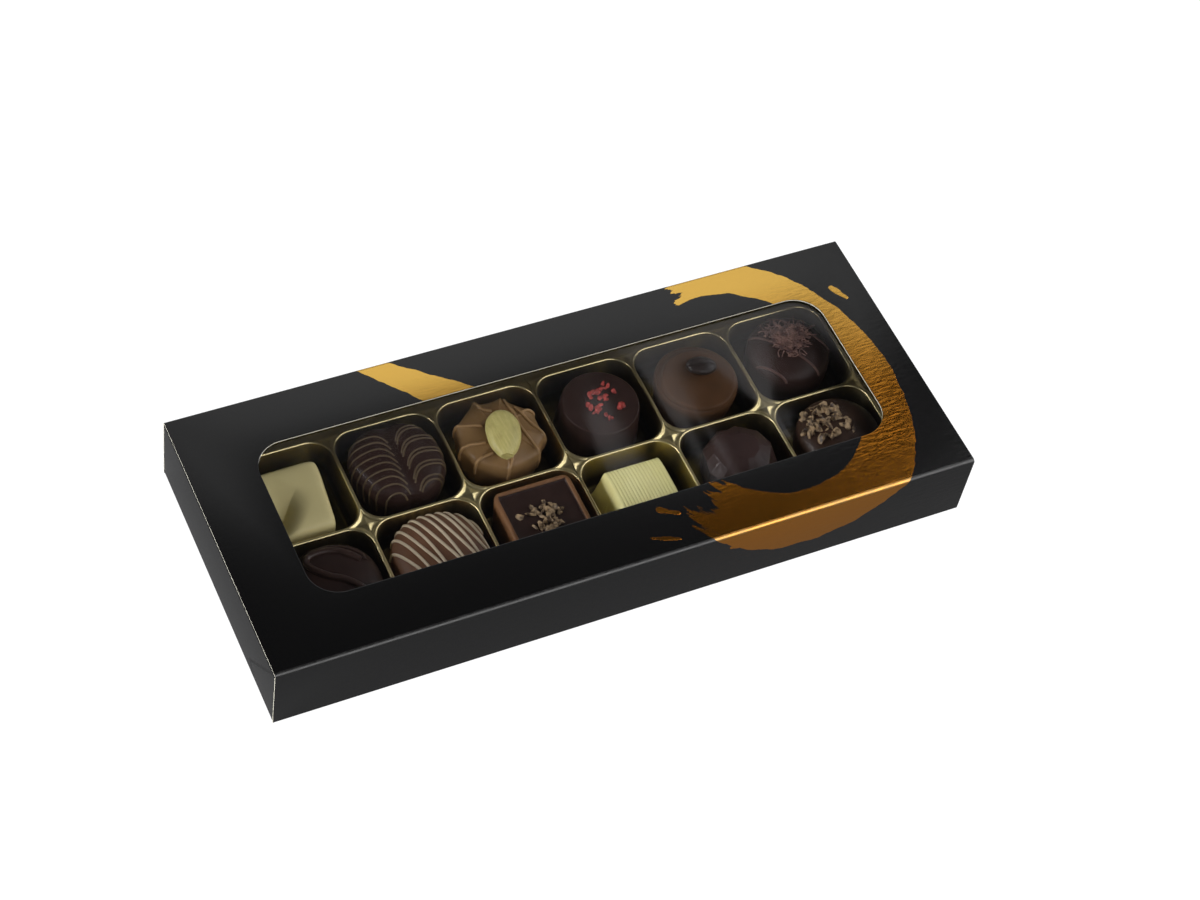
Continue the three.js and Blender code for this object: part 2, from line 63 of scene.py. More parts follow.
def addCamera(spec):
    data = bpy.data.cameras.new("boxCamera")
    data.lens = spec["lens"]
    data.sensor_width = spec["sensor"]
    data.sensor_fit = "HORIZONTAL"
    data.clip_start = 0.01
    data.clip_end = 50.0
    camera = bpy.data.objects.new("boxCamera", data)
    scene.collection.objects.link(camera)
    place = Vector(spec["place"]) * mm
    look = (Vector(spec["aim"]) * mm - place).to_track_quat("-Z", "Y")
    camera.rotation_mode = "QUATERNION"
    camera.rotation_quaternion = look @ Quaternion((0, 0, 1), math.radians(spec["roll"]))
    camera.location = place
    scene.camera = camera


addCamera(cameraSpec)
print("camera placed")


# small helpers for shapes

def blend(a, b, share):
    return a + (b - a) * share


def ease(value, low=0.0, high=1.0):
    share = min(max((value - low) / (high - low), 0.0), 1.0)
    return share * share * (3 - 2 * share)


def turned(x, y, angle):
    return x * math.cos(angle) - y * math.sin(angle), x * math.sin(angle) + y * math.cos(angle)


def bell(away, width):
    return math.exp(-((away / width) ** 2))


def linkMesh(name, points, faces, edges=(), sharpAngle=40.0):
    mesh = bpy.data.meshes.new(name)
    mesh.from_pydata([Vector(p) * mm for p in points], list(edges), list(faces))
    if faces:
        mesh.shade_smooth()
        mesh.set_sharp_from_angle(angle=math.radians(sharpAngle))
    obj = bpy.data.objects.new(name, mesh)
    scene.collection.objects.link(obj)
    return obj


def rowFaces(rows, count, base=0, closed=True):
    faces = []
    for row in range(rows - 1):
        for i in range(count if closed else count - 1):
            a = base + row * count + i
            b = base + row * count + (i + 1) % count
            faces.append((a, b, b + count, a + count))
    return faces


def loftFaces(rings):
    # closed rings joined into one body, each end closed round a middle point
    count = len(rings[0])
    points = [p for ring in rings for p in ring]
    faces = rowFaces(len(rings), count)
    last = (len(rings) - 1) * count
    foot = len(points)
    for ring in (rings[0], rings[-1]):
        points.append(tuple(sum(p[k] for p in ring) / count for k in range(3)))
    for i in range(count):
        after = (i + 1) % count
        faces.append((foot, after, i))
        faces.append((foot + 1, last + i, last + after))
    return points, faces


def roundedLoop(left, right, low, high, radius, steps):
    loop = []
    corners = ((right, high), (left, high), (left, low), (right, low))
    for quarter, (x, y) in enumerate(corners):
        middleX = x - radius if x == right else x + radius
        middleY = y - radius if y == high else y + radius
        for i in range(steps + 1):
            angle = (quarter + i / steps) * math.pi / 2
            loop.append((middleX + radius * math.cos(angle), middleY + radius * math.sin(angle)))
    return loop


def applyModifiers(obj):
    bpy.context.view_layer.update()
    evaluated = obj.evaluated_get(bpy.context.evaluated_depsgraph_get())
    mesh = bpy.data.meshes.new_from_object(evaluated)
    obj.modifiers.clear()
    obj.data = mesh


def cutBy(obj, cutter):
    modifier = obj.modifiers.new("cut", "BOOLEAN")
    modifier.operation = "DIFFERENCE"
    modifier.solver = "EXACT"
    modifier.object = cutter
    applyModifiers(obj)
    bpy.data.objects.remove(cutter)


def dress(obj, nodes=(), finish=None):
    if finish:
        obj.data.materials.clear()
        obj.data.materials.append(finish)
    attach(obj, "root")
    if nodes:
        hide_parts(*nodes)
    return obj


# small helpers for node trees and materials

def plug(tree, source, target):
    # a socket is linked, any other value is set on the input itself
    if hasattr(source, "is_output"):
        tree.links.new(source, target)
    else:
        target.default_value = source


def addNode(tree, kind, inputs=None, **settings):
    node = tree.nodes.new(kind)
    for name, value in settings.items():
        setattr(node, name, value)
    for name, value in (inputs or {}).items():
        plug(tree, value, node.inputs[name])
    return node


class Shading:
    def __init__(self, name):
        self.material = bpy.data.materials.new(name)
        self.material.use_nodes = True
        self.tree = self.material.node_tree
        self.tree.nodes.clear()
        self.output = self.add("OutputMaterial")

    def add(self, kind, inputs=None, **settings):
        return addNode(self.tree, "ShaderNode" + kind, inputs, **settings)

    def principled(self, **values):
        return self.add("BsdfPrincipled", values)

    def show(self, shader):
        plug(self.tree, shader, self.output.inputs["Surface"])
        return self.material

    def coords(self, uvName=None):
        if uvName:
            return self.add("UVMap", uv_map=uvName).outputs["UV"]
        return self.add("TexCoord").outputs["Object"]

    def split(self, vector):
        return self.add("SeparateXYZ", {0: vector}).outputs

    def stretched(self, vector, scale, turn=(0, 0, 0)):
        inputs = {"Vector": vector, "Scale": scale, "Rotation": [math.radians(a) for a in turn]}
        return self.add("Mapping", inputs).outputs["Vector"]

    def grain(self, vector, scale, detail=2.0, rough=0.5):
        inputs = {"Vector": vector, "Scale": scale, "Detail": detail, "Roughness": rough}
        return self.add("TexNoise", inputs).outputs["Fac"]

    def maths(self, operation, a, b=0.0):
        return self.add("Math", {0: a, 1: b}, operation=operation).outputs[0]

    def plus(self, a, b):
        return self.maths("ADD", a, b)

    def minus(self, a, b):
        return self.maths("SUBTRACT", a, b)

    def times(self, a, b):
        return self.maths("MULTIPLY", a, b)

    def length(self, a, b):
        return self.maths("SQRT", self.plus(self.times(a, a), self.times(b, b)))

    def span(self, value, low, high, newLow=0.0, newHigh=1.0):
        inputs = {"Value": value, "From Min": low, "From Max": high, "To Min": newLow, "To Max": newHigh}
        return self.add("MapRange", inputs).outputs[0]

    def tint(self, share, low, high):
        node = self.add("Mix", {"Factor": share}, data_type="RGBA")
        for name, colour in (("A", low), ("B", high)):
            target = [s for s in node.inputs if s.name == name and s.type == "RGBA"][0]
            plug(self.tree, colour if hasattr(colour, "is_output") else (*colour, 1.0), target)
        return [s for s in node.outputs if s.type == "RGBA"][0]

    def bump(self, height, depth, below=None):
        inputs = {"Height": height, "Strength": 1.0, "Distance": depth * mm}
        if below:
            inputs["Normal"] = below
        return self.add("Bump", inputs).outputs["Normal"]


def chocolate(name, dark, light, roughness=0.46, patch=140.0, pores=0.02, lumps=0.03, sheen=0.29):
    s = Shading(name)
    where = s.coords()
    clouds = s.grain(where, patch, 3.0)
    fine = s.grain(where, 1500.0, 2.0)
    soft = s.bump(s.grain(where, 320.0, 1.0), lumps)
    shader = s.principled(**{
        "Base Color": s.tint(s.span(clouds, 0.3, 0.7), dark, light),
        "Roughness": s.span(clouds, 0.3, 0.7, roughness - 0.06, roughness + 0.08),
        "Specular IOR Level": sheen,
        "Normal": s.bump(fine, pores, soft),
    })
    return s.show(shader.outputs[0])


def crumbMaterial(name, scale, detail, colours, contrast, roughness, relief, **more):
    s = Shading(name)
    tone = s.grain(s.coords(), scale, detail)
    shader = s.principled(**{
        "Base Color": s.tint(s.span(tone, 0.5 - contrast, 0.5 + contrast), *colours),
        "Roughness": s.span(tone, 0.3, 0.7, *roughness),
        "Normal": s.bump(tone, relief),
        **more,
    })
    return s.show(shader.outputs[0])


# Geometry Nodes: threads laid along lines, and rough bits strewn on points

def newTree(name, inputs):
    tree = bpy.data.node_groups.new(name, "GeometryNodeTree")
    tree.interface.new_socket("Geometry", in_out="INPUT", socket_type="NodeSocketGeometry")
    for label, kind in inputs:
        tree.interface.new_socket(label, in_out="INPUT", socket_type="NodeSocket" + kind)
    tree.interface.new_socket("Geometry", in_out="OUTPUT", socket_type="NodeSocketGeometry")
    return tree, tree.nodes.new("NodeGroupInput"), tree.nodes.new("NodeGroupOutput")


def endTree(tree, source, finish, goal):
    real = addNode(tree, "GeometryNodeRealizeInstances", {0: source})
    paint = addNode(tree, "GeometryNodeSetMaterial", {"Geometry": real.outputs[0], "Material": finish})
    tree.links.new(paint.outputs[0], goal.inputs[0])
    return tree


def makeThreadTree():
    # the thread is thinner at both of its ends
    tree, start, goal = newTree("laidThreads", [
        ("Radius", "Float"), ("Step", "Float"), ("Sides", "Int"), ("Finish", "Material")])
    given = start.outputs
    curve = addNode(tree, "GeometryNodeMeshToCurve", {0: given["Geometry"]})
    even = addNode(tree, "GeometryNodeResampleCurve",
                   {"Curve": curve.outputs[0], "Length": given["Step"]}, mode="LENGTH")
    along = addNode(tree, "GeometryNodeSplineParameter").outputs["Factor"]
    mirror = addNode(tree, "ShaderNodeMath", {0: along, 1: 0.5}, operation="PINGPONG")
    taper = addNode(tree, "ShaderNodeMapRange",
                    {"Value": mirror.outputs[0], "From Max": 0.06, "To Min": 0.35},
                    interpolation_type="SMOOTHSTEP")
    thick = addNode(tree, "GeometryNodeSetCurveRadius",
                    {"Curve": even.outputs[0], "Radius": taper.outputs[0]})
    ring = addNode(tree, "GeometryNodeCurvePrimitiveCircle",
                   {"Radius": given["Radius"], "Resolution": given["Sides"]})
    tube = addNode(tree, "GeometryNodeCurveToMesh",
                   {"Curve": thick.outputs[0], "Profile Curve": ring.outputs[0], "Fill Caps": True})
    smooth = addNode(tree, "GeometryNodeSetShadeSmooth", {0: tube.outputs[0]})
    return endTree(tree, smooth.outputs[0], given["Finish"], goal)


def makeBitTree(variants=4):
    # a few lumps of different shape, strewn on the points at random turns and sizes
    tree, start, goal = newTree("strewnBits", [
        ("Size", "Float"), ("Smallest", "Vector"), ("Largest", "Vector"), ("Roughness", "Float"),
        ("Facets", "Int"), ("Seed", "Int"), ("Finish", "Material")])
    given = start.outputs
    pile = addNode(tree, "GeometryNodeJoinGeometry")
    for i in range(variants):
        lump = addNode(tree, "GeometryNodeMeshIcoSphere",
                       {"Radius": given["Size"], "Subdivisions": given["Facets"]})
        wobble = addNode(tree, "ShaderNodeTexNoise", noise_dimensions="4D")
        wobble.inputs["W"].default_value = 3.7 * i
        wobble.inputs["Scale"].default_value = 900.0
        centred = addNode(tree, "ShaderNodeVectorMath",
                          {0: wobble.outputs["Color"], 1: (0.5, 0.5, 0.5)}, operation="SUBTRACT")
        scaled = addNode(tree, "ShaderNodeVectorMath",
                         {0: centred.outputs[0], "Scale": given["Roughness"]}, operation="SCALE")
        moved = addNode(tree, "GeometryNodeSetPosition",
                        {"Geometry": lump.outputs[0], "Offset": scaled.outputs[0]})
        single = addNode(tree, "GeometryNodeGeometryToInstance", {0: moved.outputs[0]})
        tree.links.new(single.outputs[0], pile.inputs[0])
    turn = addNode(tree, "FunctionNodeRandomValue",
                   {"Max": (fullTurn, 0.5, fullTurn), "Seed": given["Seed"]}, data_type="FLOAT_VECTOR")
    size = addNode(tree, "FunctionNodeRandomValue",
                   {"Min": given["Smallest"], "Max": given["Largest"], "Seed": given["Seed"]},
                   data_type="FLOAT_VECTOR")
    strew = addNode(tree, "GeometryNodeInstanceOnPoints", {
        "Points": given["Geometry"], "Instance": pile.outputs[0], "Pick Instance": True,
        "Rotation": turn.outputs["Value"], "Scale": size.outputs["Value"]})
    return endTree(tree, strew.outputs[0], given["Finish"], goal)


def runTree(obj, tree, values):
    modifier = obj.modifiers.new("nodes", "NODES")
    modifier.node_group = tree
    for item in tree.interface.items_tree:
        if item.in_out == "INPUT" and item.name in values:
            modifier[item.identifier] = values[item.name]
    applyModifiers(obj)


threadTree = makeThreadTree()
bitTree = makeBitTree()


def surfaceOf(obj):
    mesh = obj.data
    return BVHTree.FromPolygons([v.co.copy() for v in mesh.vertices],
                                [tuple(p.vertices) for p in mesh.polygons])


def onTop(surface, x, y, lift=0.0):
    hit = surface.ray_cast(Vector((x, y, 60.0)) * mm, Vector((0, 0, -1)))[0]
    if hit is None:
        return None
    return (hit.x / mm, hit.y / mm, hit.z / mm + lift)


def laidLine(surface, plan, lift=0.0):
    # a line drawn in plan, laid on the sweet
    return [p for p in (onTop(surface, x, y, lift) for x, y in plan) if p]


def sideRun(surface, line, drop, middle, steps=7):
    # carries a laid line on from its last point, straight down the side of the sweet
    if len(line) < 2:
        return []
    end = line[-1]
    run = []
    for step in range(1, steps + 1):
        away = Vector((end[0] - middle[0], end[1] - middle[1], 0)) * 1.06
        guess = Vector((middle[0] + away.x, middle[1] + away.y, end[2] - drop * step / steps))
        run.append(tuple(surface.find_nearest(guess * mm)[0] / mm))
    return run


def throughPoints(stops, pieces=10):
    # a smooth line through a few stops
    line = []
    last = len(stops) - 1
    for i in range(last):
        p = [stops[min(max(i + k, 0), last)] for k in (-1, 0, 1, 2)]
        for j in range(pieces):
            t = j / pieces
            line.append(tuple(0.5 * (2 * p[1][k] + (p[2][k] - p[0][k]) * t
                                     + (2 * p[0][k] - 5 * p[1][k] + 4 * p[2][k] - p[3][k]) * t * t
                                     + (3 * p[1][k] - p[0][k] - 3 * p[2][k] + p[3][k]) * t ** 3)
                              for k in range(2)))
    return line + [stops[-1]]


def threadPiece(name, lines, radius, finish, step=0.45, sides=8):
    points, edges = [], []
    for line in (line for line in lines if len(line) > 3):
        edges += [(len(points) + i, len(points) + i + 1) for i in range(len(line) - 1)]
        points += line
    obj = linkMesh(name, points, (), edges)
    runTree(obj, threadTree,
            {"Radius": radius * mm, "Step": step * mm, "Sides": sides, "Finish": finish})
    return dress(obj)


def bitPiece(name, points, spec, finish):
    obj = linkMesh(name, points, ())
    runTree(obj, bitTree, {
        "Size": spec["size"] / 2 * mm, "Smallest": spec["smallest"], "Largest": spec["largest"],
        "Roughness": spec["rough"] * mm, "Facets": spec["facets"], "Seed": spec["seed"],
        "Finish": finish})
    return dress(obj)


print("node trees ready")


# the board of the carton

board = {
    "thick": 0.38, "crease": 1.1, "fold": 1.6, "tongue": 12.0, "gap": 0.3,  # mm
    "cutBevel": 0.06, "bevelSpread": 5, "creaseSteps": 8, "cornerSteps": 14,
    "window": (-97.0, 99.2, -28.2, 30.4), "windowCorner": 10.0,             # left, right, front, rear
}
halfLength, halfDepth, boxHeight = Vector(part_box("carton")[1]) / mm

foil = {
    "outer": (60.0, -5.0, 50.0, 60.5),     # an oval brush stroke on the flat print: middle and half axes, mm
    "inner": (62.0, 0.0, 35.0, 41.0),      # the bare oval inside it
    "start": -141.0, "end": 97.0,          # degrees round the oval
    "hairs": 19.0, "hairLength": 0.03, "dryness": 30.0, "endDryness": 0.4, "wavy": 0.022,
    "band": (-55.0, 48.8, -0.86, 10.5),    # a second stroke at the rear left: edge x and y, lean, width
    "bandFlare": 0.38, "bandWavy": 2.5, "fleckWavy": 2.4,
    "flecks": (((13.5, -32.5), (18.5, -35.6), 0.8), ((6.5, -41.5), (15.0, -44.6), 0.55),
               ((107.0, 30.5), (110.0, 25.0), 0.9), ((32.0, -55.5), (40.0, -57.0), 0.7)),
    # the front foil colour is painted shade, darker than the gold towards the rear
    "ink": (0.0013, 0.0013, 0.0014), "shadedFrontFoil": (0.62, 0.245, 0.030), "gold": (0.80, 0.49, 0.105),
    "creaseWearAndShade": (0.30, 0.19, 0.075),           # the foil along the front crease: wear, and painted shade that dims its highlight
}


def printMaterial(spec):
    s = Shading("printedBoard")
    uv = s.coords("print")
    flat = s.split(uv)
    x, y = s.times(flat["X"], 1 / mm), s.times(flat["Y"], 1 / mm)
    wave = s.grain(uv, 160.0, 2.0)
    wobble = s.minus(wave, 0.5)

    def oval(centreX, centreY, halfX, halfY):
        u = s.maths("DIVIDE", s.minus(x, centreX), halfX)
        v = s.maths("DIVIDE", s.minus(y, centreY), halfY)
        return s.length(u, v), s.times(s.maths("ARCTAN2", v, u), 360 / fullTurn)

    def fleck(start, end, radius):
        run = (end[0] - start[0], end[1] - start[1])
        length = math.hypot(*run)
        dx, dy = s.minus(x, start[0]), s.minus(y, start[1])
        along = s.plus(s.times(dx, run[0] / length), s.times(dy, run[1] / length))
        aside = s.minus(s.times(dx, -run[1] / length), s.times(dy, -run[0] / length))
        past = s.minus(along, s.maths("MINIMUM", s.maths("MAXIMUM", along, 0.0), length))
        swell = s.times(wobble, spec["fleckWavy"])
        return s.maths("LESS_THAN", s.length(past, aside), s.plus(swell, radius))

    # the brush ring, with torn hairs at both ends
    far, angle = oval(*spec["outer"])
    near = oval(*spec["inner"])[0]
    lanes = {"X": s.times(far, spec["hairs"]), "Y": s.times(angle, spec["hairLength"])}
    brush = s.add("CombineXYZ", lanes).outputs[0]
    torn = s.times(s.minus(s.grain(brush, 1.0, 3.0, 0.75), 0.5), 2 * spec["dryness"])
    shift = s.times(wobble, 2 * spec["wavy"])
    outer = s.maths("LESS_THAN", s.plus(far, shift), 1.0)
    inner = s.maths("GREATER_THAN", s.minus(near, shift), 1.0)
    begun = s.maths("GREATER_THAN", angle, s.plus(torn, spec["start"]))
    ended = s.maths("LESS_THAN", angle, s.plus(s.times(torn, spec["endDryness"]), spec["end"]))
    mask = s.times(s.times(outer, inner), s.times(begun, ended))

    # the band and the flecks
    bandX, bandY, bandLean, bandWide = spec["band"]
    bandEdge = s.plus(s.times(s.minus(y, bandY), bandLean), bandX)
    widening = s.plus(s.times(s.minus(bandY, y), spec["bandFlare"]), bandWide)
    into = s.plus(s.minus(x, bandEdge), s.times(wobble, spec["bandWavy"]))
    band = s.times(s.maths("GREATER_THAN", into, 0.0), s.maths("LESS_THAN", into, widening))
    mask = s.maths("MAXIMUM", mask, s.times(band, s.maths("GREATER_THAN", y, 0.0)))
    for start, end, radius in spec["flecks"]:
        mask = s.maths("MAXIMUM", mask, fleck(start, end, radius))

    # the line where the front is folded down: worn and rougher, with painted shade darkening the foil there
    flatEdge = halfDepth - board["crease"]
    fold = s.times(s.span(y, -flatEdge + 0.3, -flatEdge - 0.1), s.span(y, -flatEdge - 1.9, -flatEdge - 1.5))
    fold = s.times(fold, s.span(s.grain(uv, 420.0, 2.0), 0.35, 0.6, 0.55, 1.0))

    grain = s.grain(s.stretched(uv, (300, 1700, 1)), 1.0, 3.0, 0.6)
    peel = s.grain(s.stretched(uv, (230, 900, 1)), 1.0, 3.0)
    # the foil wrinkles most at the front right
    wrinkled = s.times(s.span(x, 45.0, 105.0, 0.22, 1.0), s.span(y, -40.0, 10.0, 3.4, 1.0))
    wrinkled = s.times(peel, s.times(wrinkled, s.span(mask, 0.0, 1.0, 0.5, 1.0)))
    # painted shade: the foil is darker and more copper towards the front, lighter gold towards the rear
    foilColour = s.tint(s.span(y, -12.0, 40.0), spec["shadedFrontFoil"], spec["gold"])
    foilColour = s.tint(s.times(fold, 0.8), foilColour, spec["creaseWearAndShade"])
    shader = s.principled(**{
        "Base Color": s.tint(mask, spec["ink"], foilColour),
        "Metallic": mask,
        "Roughness": s.plus(s.span(mask, 0.0, 1.0, 0.19, 0.17), s.times(fold, 0.26)),
        "Specular IOR Level": 0.48,
        "Normal": s.bump(wrinkled, 0.04, s.bump(grain, 0.005)),
    })
    return s.show(shader.outputs[0])


def paperMaterial(name, colour, roughness=0.8):
    s = Shading(name)
    where = s.coords()
    fibres = s.grain(s.stretched(where, (400, 2600, 2600)), 1.0, 4.0, 0.7)
    shader = s.principled(**{
        "Base Color": s.tint(fibres, tuple(0.75 * c for c in colour), colour),
        "Roughness": s.span(fibres, 0.2, 0.8, roughness - 0.1, roughness + 0.1),
        "Normal": s.bump(fibres, 0.04),
    })
    return s.show(shader.outputs[0])


def unrolled(point):
    # where a point of the board lies on the flat print: x along the box, y over the top and down a side
    x, y, z = point
    side = -1.0 if y < 0 else 1.0
    flat = halfDepth - board["crease"]
    into = abs(y) - flat
    below = z - (boxHeight - board["crease"])
    if into > 0 and below > 0:
        over = flat + board["crease"] * math.atan2(into, below)
    elif into > 0:
        over = flat + board["crease"] * math.pi / 2 - below
    else:
        over = abs(y)
    return x, side * over


def boardStrip(points, faces, kinds, outside, inside, half):
    # a folded strip of board that runs across the box, given by its two sides in (x, z)
    base = len(points)
    count = len(outside)
    for y in (-half, half):
        points += [(x, y, z) for x, z in outside]
        points += [(x, y, z) for x, z in inside]
    far = 2 * count
    for i in range(count - 1):
        a = base + i
        faces.append((a, a + 1, a + 1 + far, a + far))
        faces.append((a + count + 1, a + count, a + count + far, a + count + 1 + far))
        faces.append((a, a + count, a + count + 1, a + 1))
        faces.append((a + far, a + far + 1, a + far + count + 1, a + far + count))
        kinds += [0, 2, 1, 1]
    for i, flip in ((0, False), (count - 1, True)):
        a = base + i
        cap = (a, a + far, a + far + count, a + count)
        faces.append(cap[::-1] if flip else cap)
        kinds.append(1)


def flapSides(side):
    # the end flap rises from the bottom, then turns in under the top panel
    bend = board["crease"] + board["thick"]
    ceiling = boxHeight - board["thick"] - board["gap"]
    steps = board["creaseSteps"]
    outside, inside = [], []

    def corner(x, z, start):
        for i in range(steps + 1):
            angle = start + i / steps * math.pi / 2
            outside.append((x + bend * math.cos(angle), z + bend * math.sin(angle)))
            inside.append((x + board["crease"] * math.cos(angle), z + board["crease"] * math.sin(angle)))

    outside.append((halfLength - board["fold"] - bend, 0.0))
    inside.append((halfLength - board["fold"] - bend, board["thick"]))
    corner(halfLength - bend, bend, -math.pi / 2)
    corner(halfLength - bend, ceiling - bend, 0.0)
    outside.append((halfLength - board["tongue"], ceiling))
    inside.append((halfLength - board["tongue"], ceiling - board["thick"]))
    if side < 0:
        outside = [(-x, z) for x, z in outside]
        inside = [(-x, z) for x, z in inside]
    return outside, inside


def buildCarton():
    outer = roundedLoop(-halfDepth, halfDepth, 0.0, boxHeight, board["crease"], board["creaseSteps"])
    t = board["thick"]
    inner = roundedLoop(-halfDepth + t, halfDepth - t, t, boxHeight - t, board["crease"] - t,
                        board["creaseSteps"])
    count = len(outer)
    points, faces = [], []
    for x in (-halfLength, halfLength):
        points += [(x, y, z) for y, z in outer]
        points += [(x, y, z) for y, z in inner]
    far = 2 * count
    for i in range(count):
        j = (i + 1) % count
        faces.append((i, j, j + far, i + far))
        faces.append((j + count, i + count, i + count + far, j + count + far))
        faces.append((j, i, i + count, j + count))
        faces.append((i + far, j + far, j + count + far, i + count + far))
    sleeve = linkMesh("cartonBoard", points, faces)
    left, right, low, high = board["window"]
    levels = []
    bevel = board["cutBevel"]
    for out, z in ((0.0, -2 * t), (0.0, -bevel), (board["bevelSpread"] * bevel, bevel)):
        loop = roundedLoop(left - out, right + out, low - out, high + out, board["windowCorner"] + out,
                           board["cornerSteps"])
        levels.append([(x, y, boxHeight + z) for x, y in loop])
    cutBy(sleeve, linkMesh("windowCutter", *loftFaces(levels)))
    for side in (-1, 1):
        near = side * (halfLength - board["fold"] - board["crease"])
        far = side * (halfLength + 1)
        span = (min(near, far), max(near, far), -halfDepth + t, halfDepth - t)
        room = roundedLoop(*span, 0.01, 1)
        levels = [[(x, y, z) for x, y in room] for z in (-1.0, t + board["gap"])]
        cutBy(sleeve, linkMesh("foldCutter", *loftFaces(levels)))

    kinds = []  # of each face: 0 printed, 1 cut edge, 2 inside
    for face in sleeve.data.polygons:
        centre, normal = face.center / mm, face.normal
        atEnd = abs(normal.x) > 0.9
        atWindow = centre.z > boxHeight - t and abs(normal.z) < 0.4 and abs(centre.y) < halfDepth - 2
        atFold = centre.z < t + 0.01 and abs(normal.z) < 0.5 and abs(centre.y) < halfDepth - t / 2
        facing = normal.y * centre.y / halfDepth + normal.z * (centre.z - boxHeight / 2) / boxHeight
        kinds.append(1 if atEnd or atWindow or atFold else 0 if facing > 0 else 2)
    points = [tuple(v.co / mm) for v in sleeve.data.vertices]
    faces = [tuple(p.vertices) for p in sleeve.data.polygons]
    for side in (-1, 1):
        outside, inside = flapSides(side)
        boardStrip(points, faces, kinds, outside, inside, halfDepth - t - board["gap"])
    bpy.data.objects.remove(sleeve)
    carton = linkMesh("carton_board", points, faces, sharpAngle=16.0)
    mesh = carton.data
    for finish in (printMaterial(foil), paperMaterial("rawBoardEdge", (0.46, 0.44, 0.37)),
                   paperMaterial("boardInside", (0.30, 0.29, 0.27))):
        mesh.materials.append(finish)
    flat = bmesh.new()
    flat.from_mesh(mesh)
    flat.faces.ensure_lookup_table()
    for face, kind in zip(flat.faces, kinds):
        face.material_index = kind
    bmesh.ops.recalc_face_normals(flat, faces=flat.faces)
    flat.to_mesh(mesh)
    flat.free()
    layer = mesh.uv_layers.new(name="print")
    for loopIndex, corner in enumerate(mesh.loops):
        u, v = unrolled(mesh.vertices[corner.vertex_index].co / mm)
        layer.data[loopIndex].uv = (u * mm, v * mm)
    return dress(carton, ["carton"])


buildCarton()
print("carton done")


# the clear film under the window

film = {
    "thick": 0.05, "columns": 160, "rows": 60, "rest": -0.03,
    "bellies": ((65.0, 6.5, 0.62),),                                    # x, width and rise of each, mm
    "dips": ((45.0, 9.0, 0.75), (87.0, 9.0, 0.95), (20.0, 10.0, 0.8)),  # these stay low up to the front
    "ripple": 0.07, "rippleLong": 34.0, "rippleDeep": 26.0,
    "tint": (0.775, 0.775, 0.78), "glossTint": (0.95, 0.92, 0.93), "refraction": 1.5,
}


def filmMaterial(spec):
    s = Shading("clearFilm")
    clear = s.add("BsdfTransparent", {"Color": (*spec["tint"], 1.0)})
    handled = s.grain(s.coords(), 45.0, 2.0)
    gloss = s.principled(**{
        "Base Color": (*spec["glossTint"], 1.0), "Metallic": 1.0,
        "Roughness": s.span(handled, 0.3, 0.7, 0.07, 0.11),
    })
    fresnel = s.add("Fresnel", {"IOR": spec["refraction"]}).outputs[0]
    behind = s.add("NewGeometry").outputs["Backfacing"]
    share = s.times(fresnel, s.minus(1.0, behind))  # only the side that is met first reflects
    mix = s.add("MixShader", {0: share, 1: clear.outputs[0], 2: gloss.outputs[0]})
    return s.show(mix.outputs[0])


def buildFilm(spec):
    low, high = [corner / mm for corner in map(Vector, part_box("window_film"))]
    columns, rows = spec["columns"], spec["rows"]
    middle = (low.z + high.z) / 2
    points, faces = [], []
    for layer in (-1, 1):
        for j in range(rows + 1):
            for i in range(columns + 1):
                x = blend(low.x, high.x, i / columns)
                y = blend(low.y, high.y, j / rows)
                back = (high.y - y) / (high.y - low.y)
                belly = spec["rest"] * math.sin(math.pi * back ** 2)
                for at, wide, rise in spec["bellies"]:
                    belly += rise * bell(x - at, wide) * math.sin(math.pi * back ** 4)
                for at, wide, fall in spec["dips"]:
                    belly -= fall * bell(x - at, wide) * ease(back, 0.0, 0.75)
                swell = spec["ripple"] * noise.noise((x / spec["rippleLong"], y / spec["rippleDeep"], 0.0))
                points.append((x, y, middle + belly + swell + layer * spec["thick"] / 2))
    across = columns + 1
    upper = across * (rows + 1)
    for j in range(rows):
        for i in range(columns):
            a = j * across + i
            faces.append((a, a + across, a + across + 1, a + 1))
            faces.append((a + upper, a + 1 + upper, a + across + 1 + upper, a + across + upper))
    rim = list(range(columns))
    rim += [columns + j * across for j in range(rows)]
    rim += [upper - 1 - i for i in range(columns)]
    rim += [(rows - j) * across for j in range(rows)]
    for a, b in zip(rim, rim[1:] + rim[:1]):
        faces.append((a, b, b + upper, a + upper))
    sheet = linkMesh("window_pane", points, faces)
    return dress(sheet, ["window_film"], filmMaterial(spec))


buildFilm(film)
print("film done")


# the two gold trays

tray = {
    "pitchX": 34.75, "pitchY": 35.4, "rib": 1.2, "corner": 7.0, "crest": 15.0, "floor": 1.4,  # mm
    "draft": 0.08, "footRound": 1.1, "flange": 13.4, "dish": 0.75, "knoll": 0.7, "sheet": 0.34,
    "skirtCorner": 5.0, "slit": 0.12, "lip": 4.0,
    "columns": 3, "sideSteps": 12, "cornerSteps": 14, "footSteps": 4, "wallSteps": 6, "topSteps": 12,
    "topCrowd": 1.45, "ribRound": 0.85, "reachTie": 0.3,
    "flangeSteps": (0.0, 0.2, 0.45, 0.75, 1.1, 1.6, 2.6, 4.5, 7.5, 10.5),       # out from the cells, mm
    "skirt": ((0.9, 0.0), (0.35, 0.12), (0.08, 0.45), (0.0, 0.9), (0.0, 5.0), (0.0, 9.0)),  # in, down
    "skirtFoot": 0.9,
    # the first, darkest gold is painted shade down in the cells
    "shadedWallGold": (0.11, 0.09, 0.04), "paleGold": (0.72, 0.61, 0.31), "brightGold": (0.82, 0.70, 0.38),
}
cells = {side: [((side * (column + 0.5)) * tray["pitchX"], (row - 0.5) * tray["pitchY"])
                for column in range(tray["columns"]) for row in range(2)] for side in (-1, 1)}


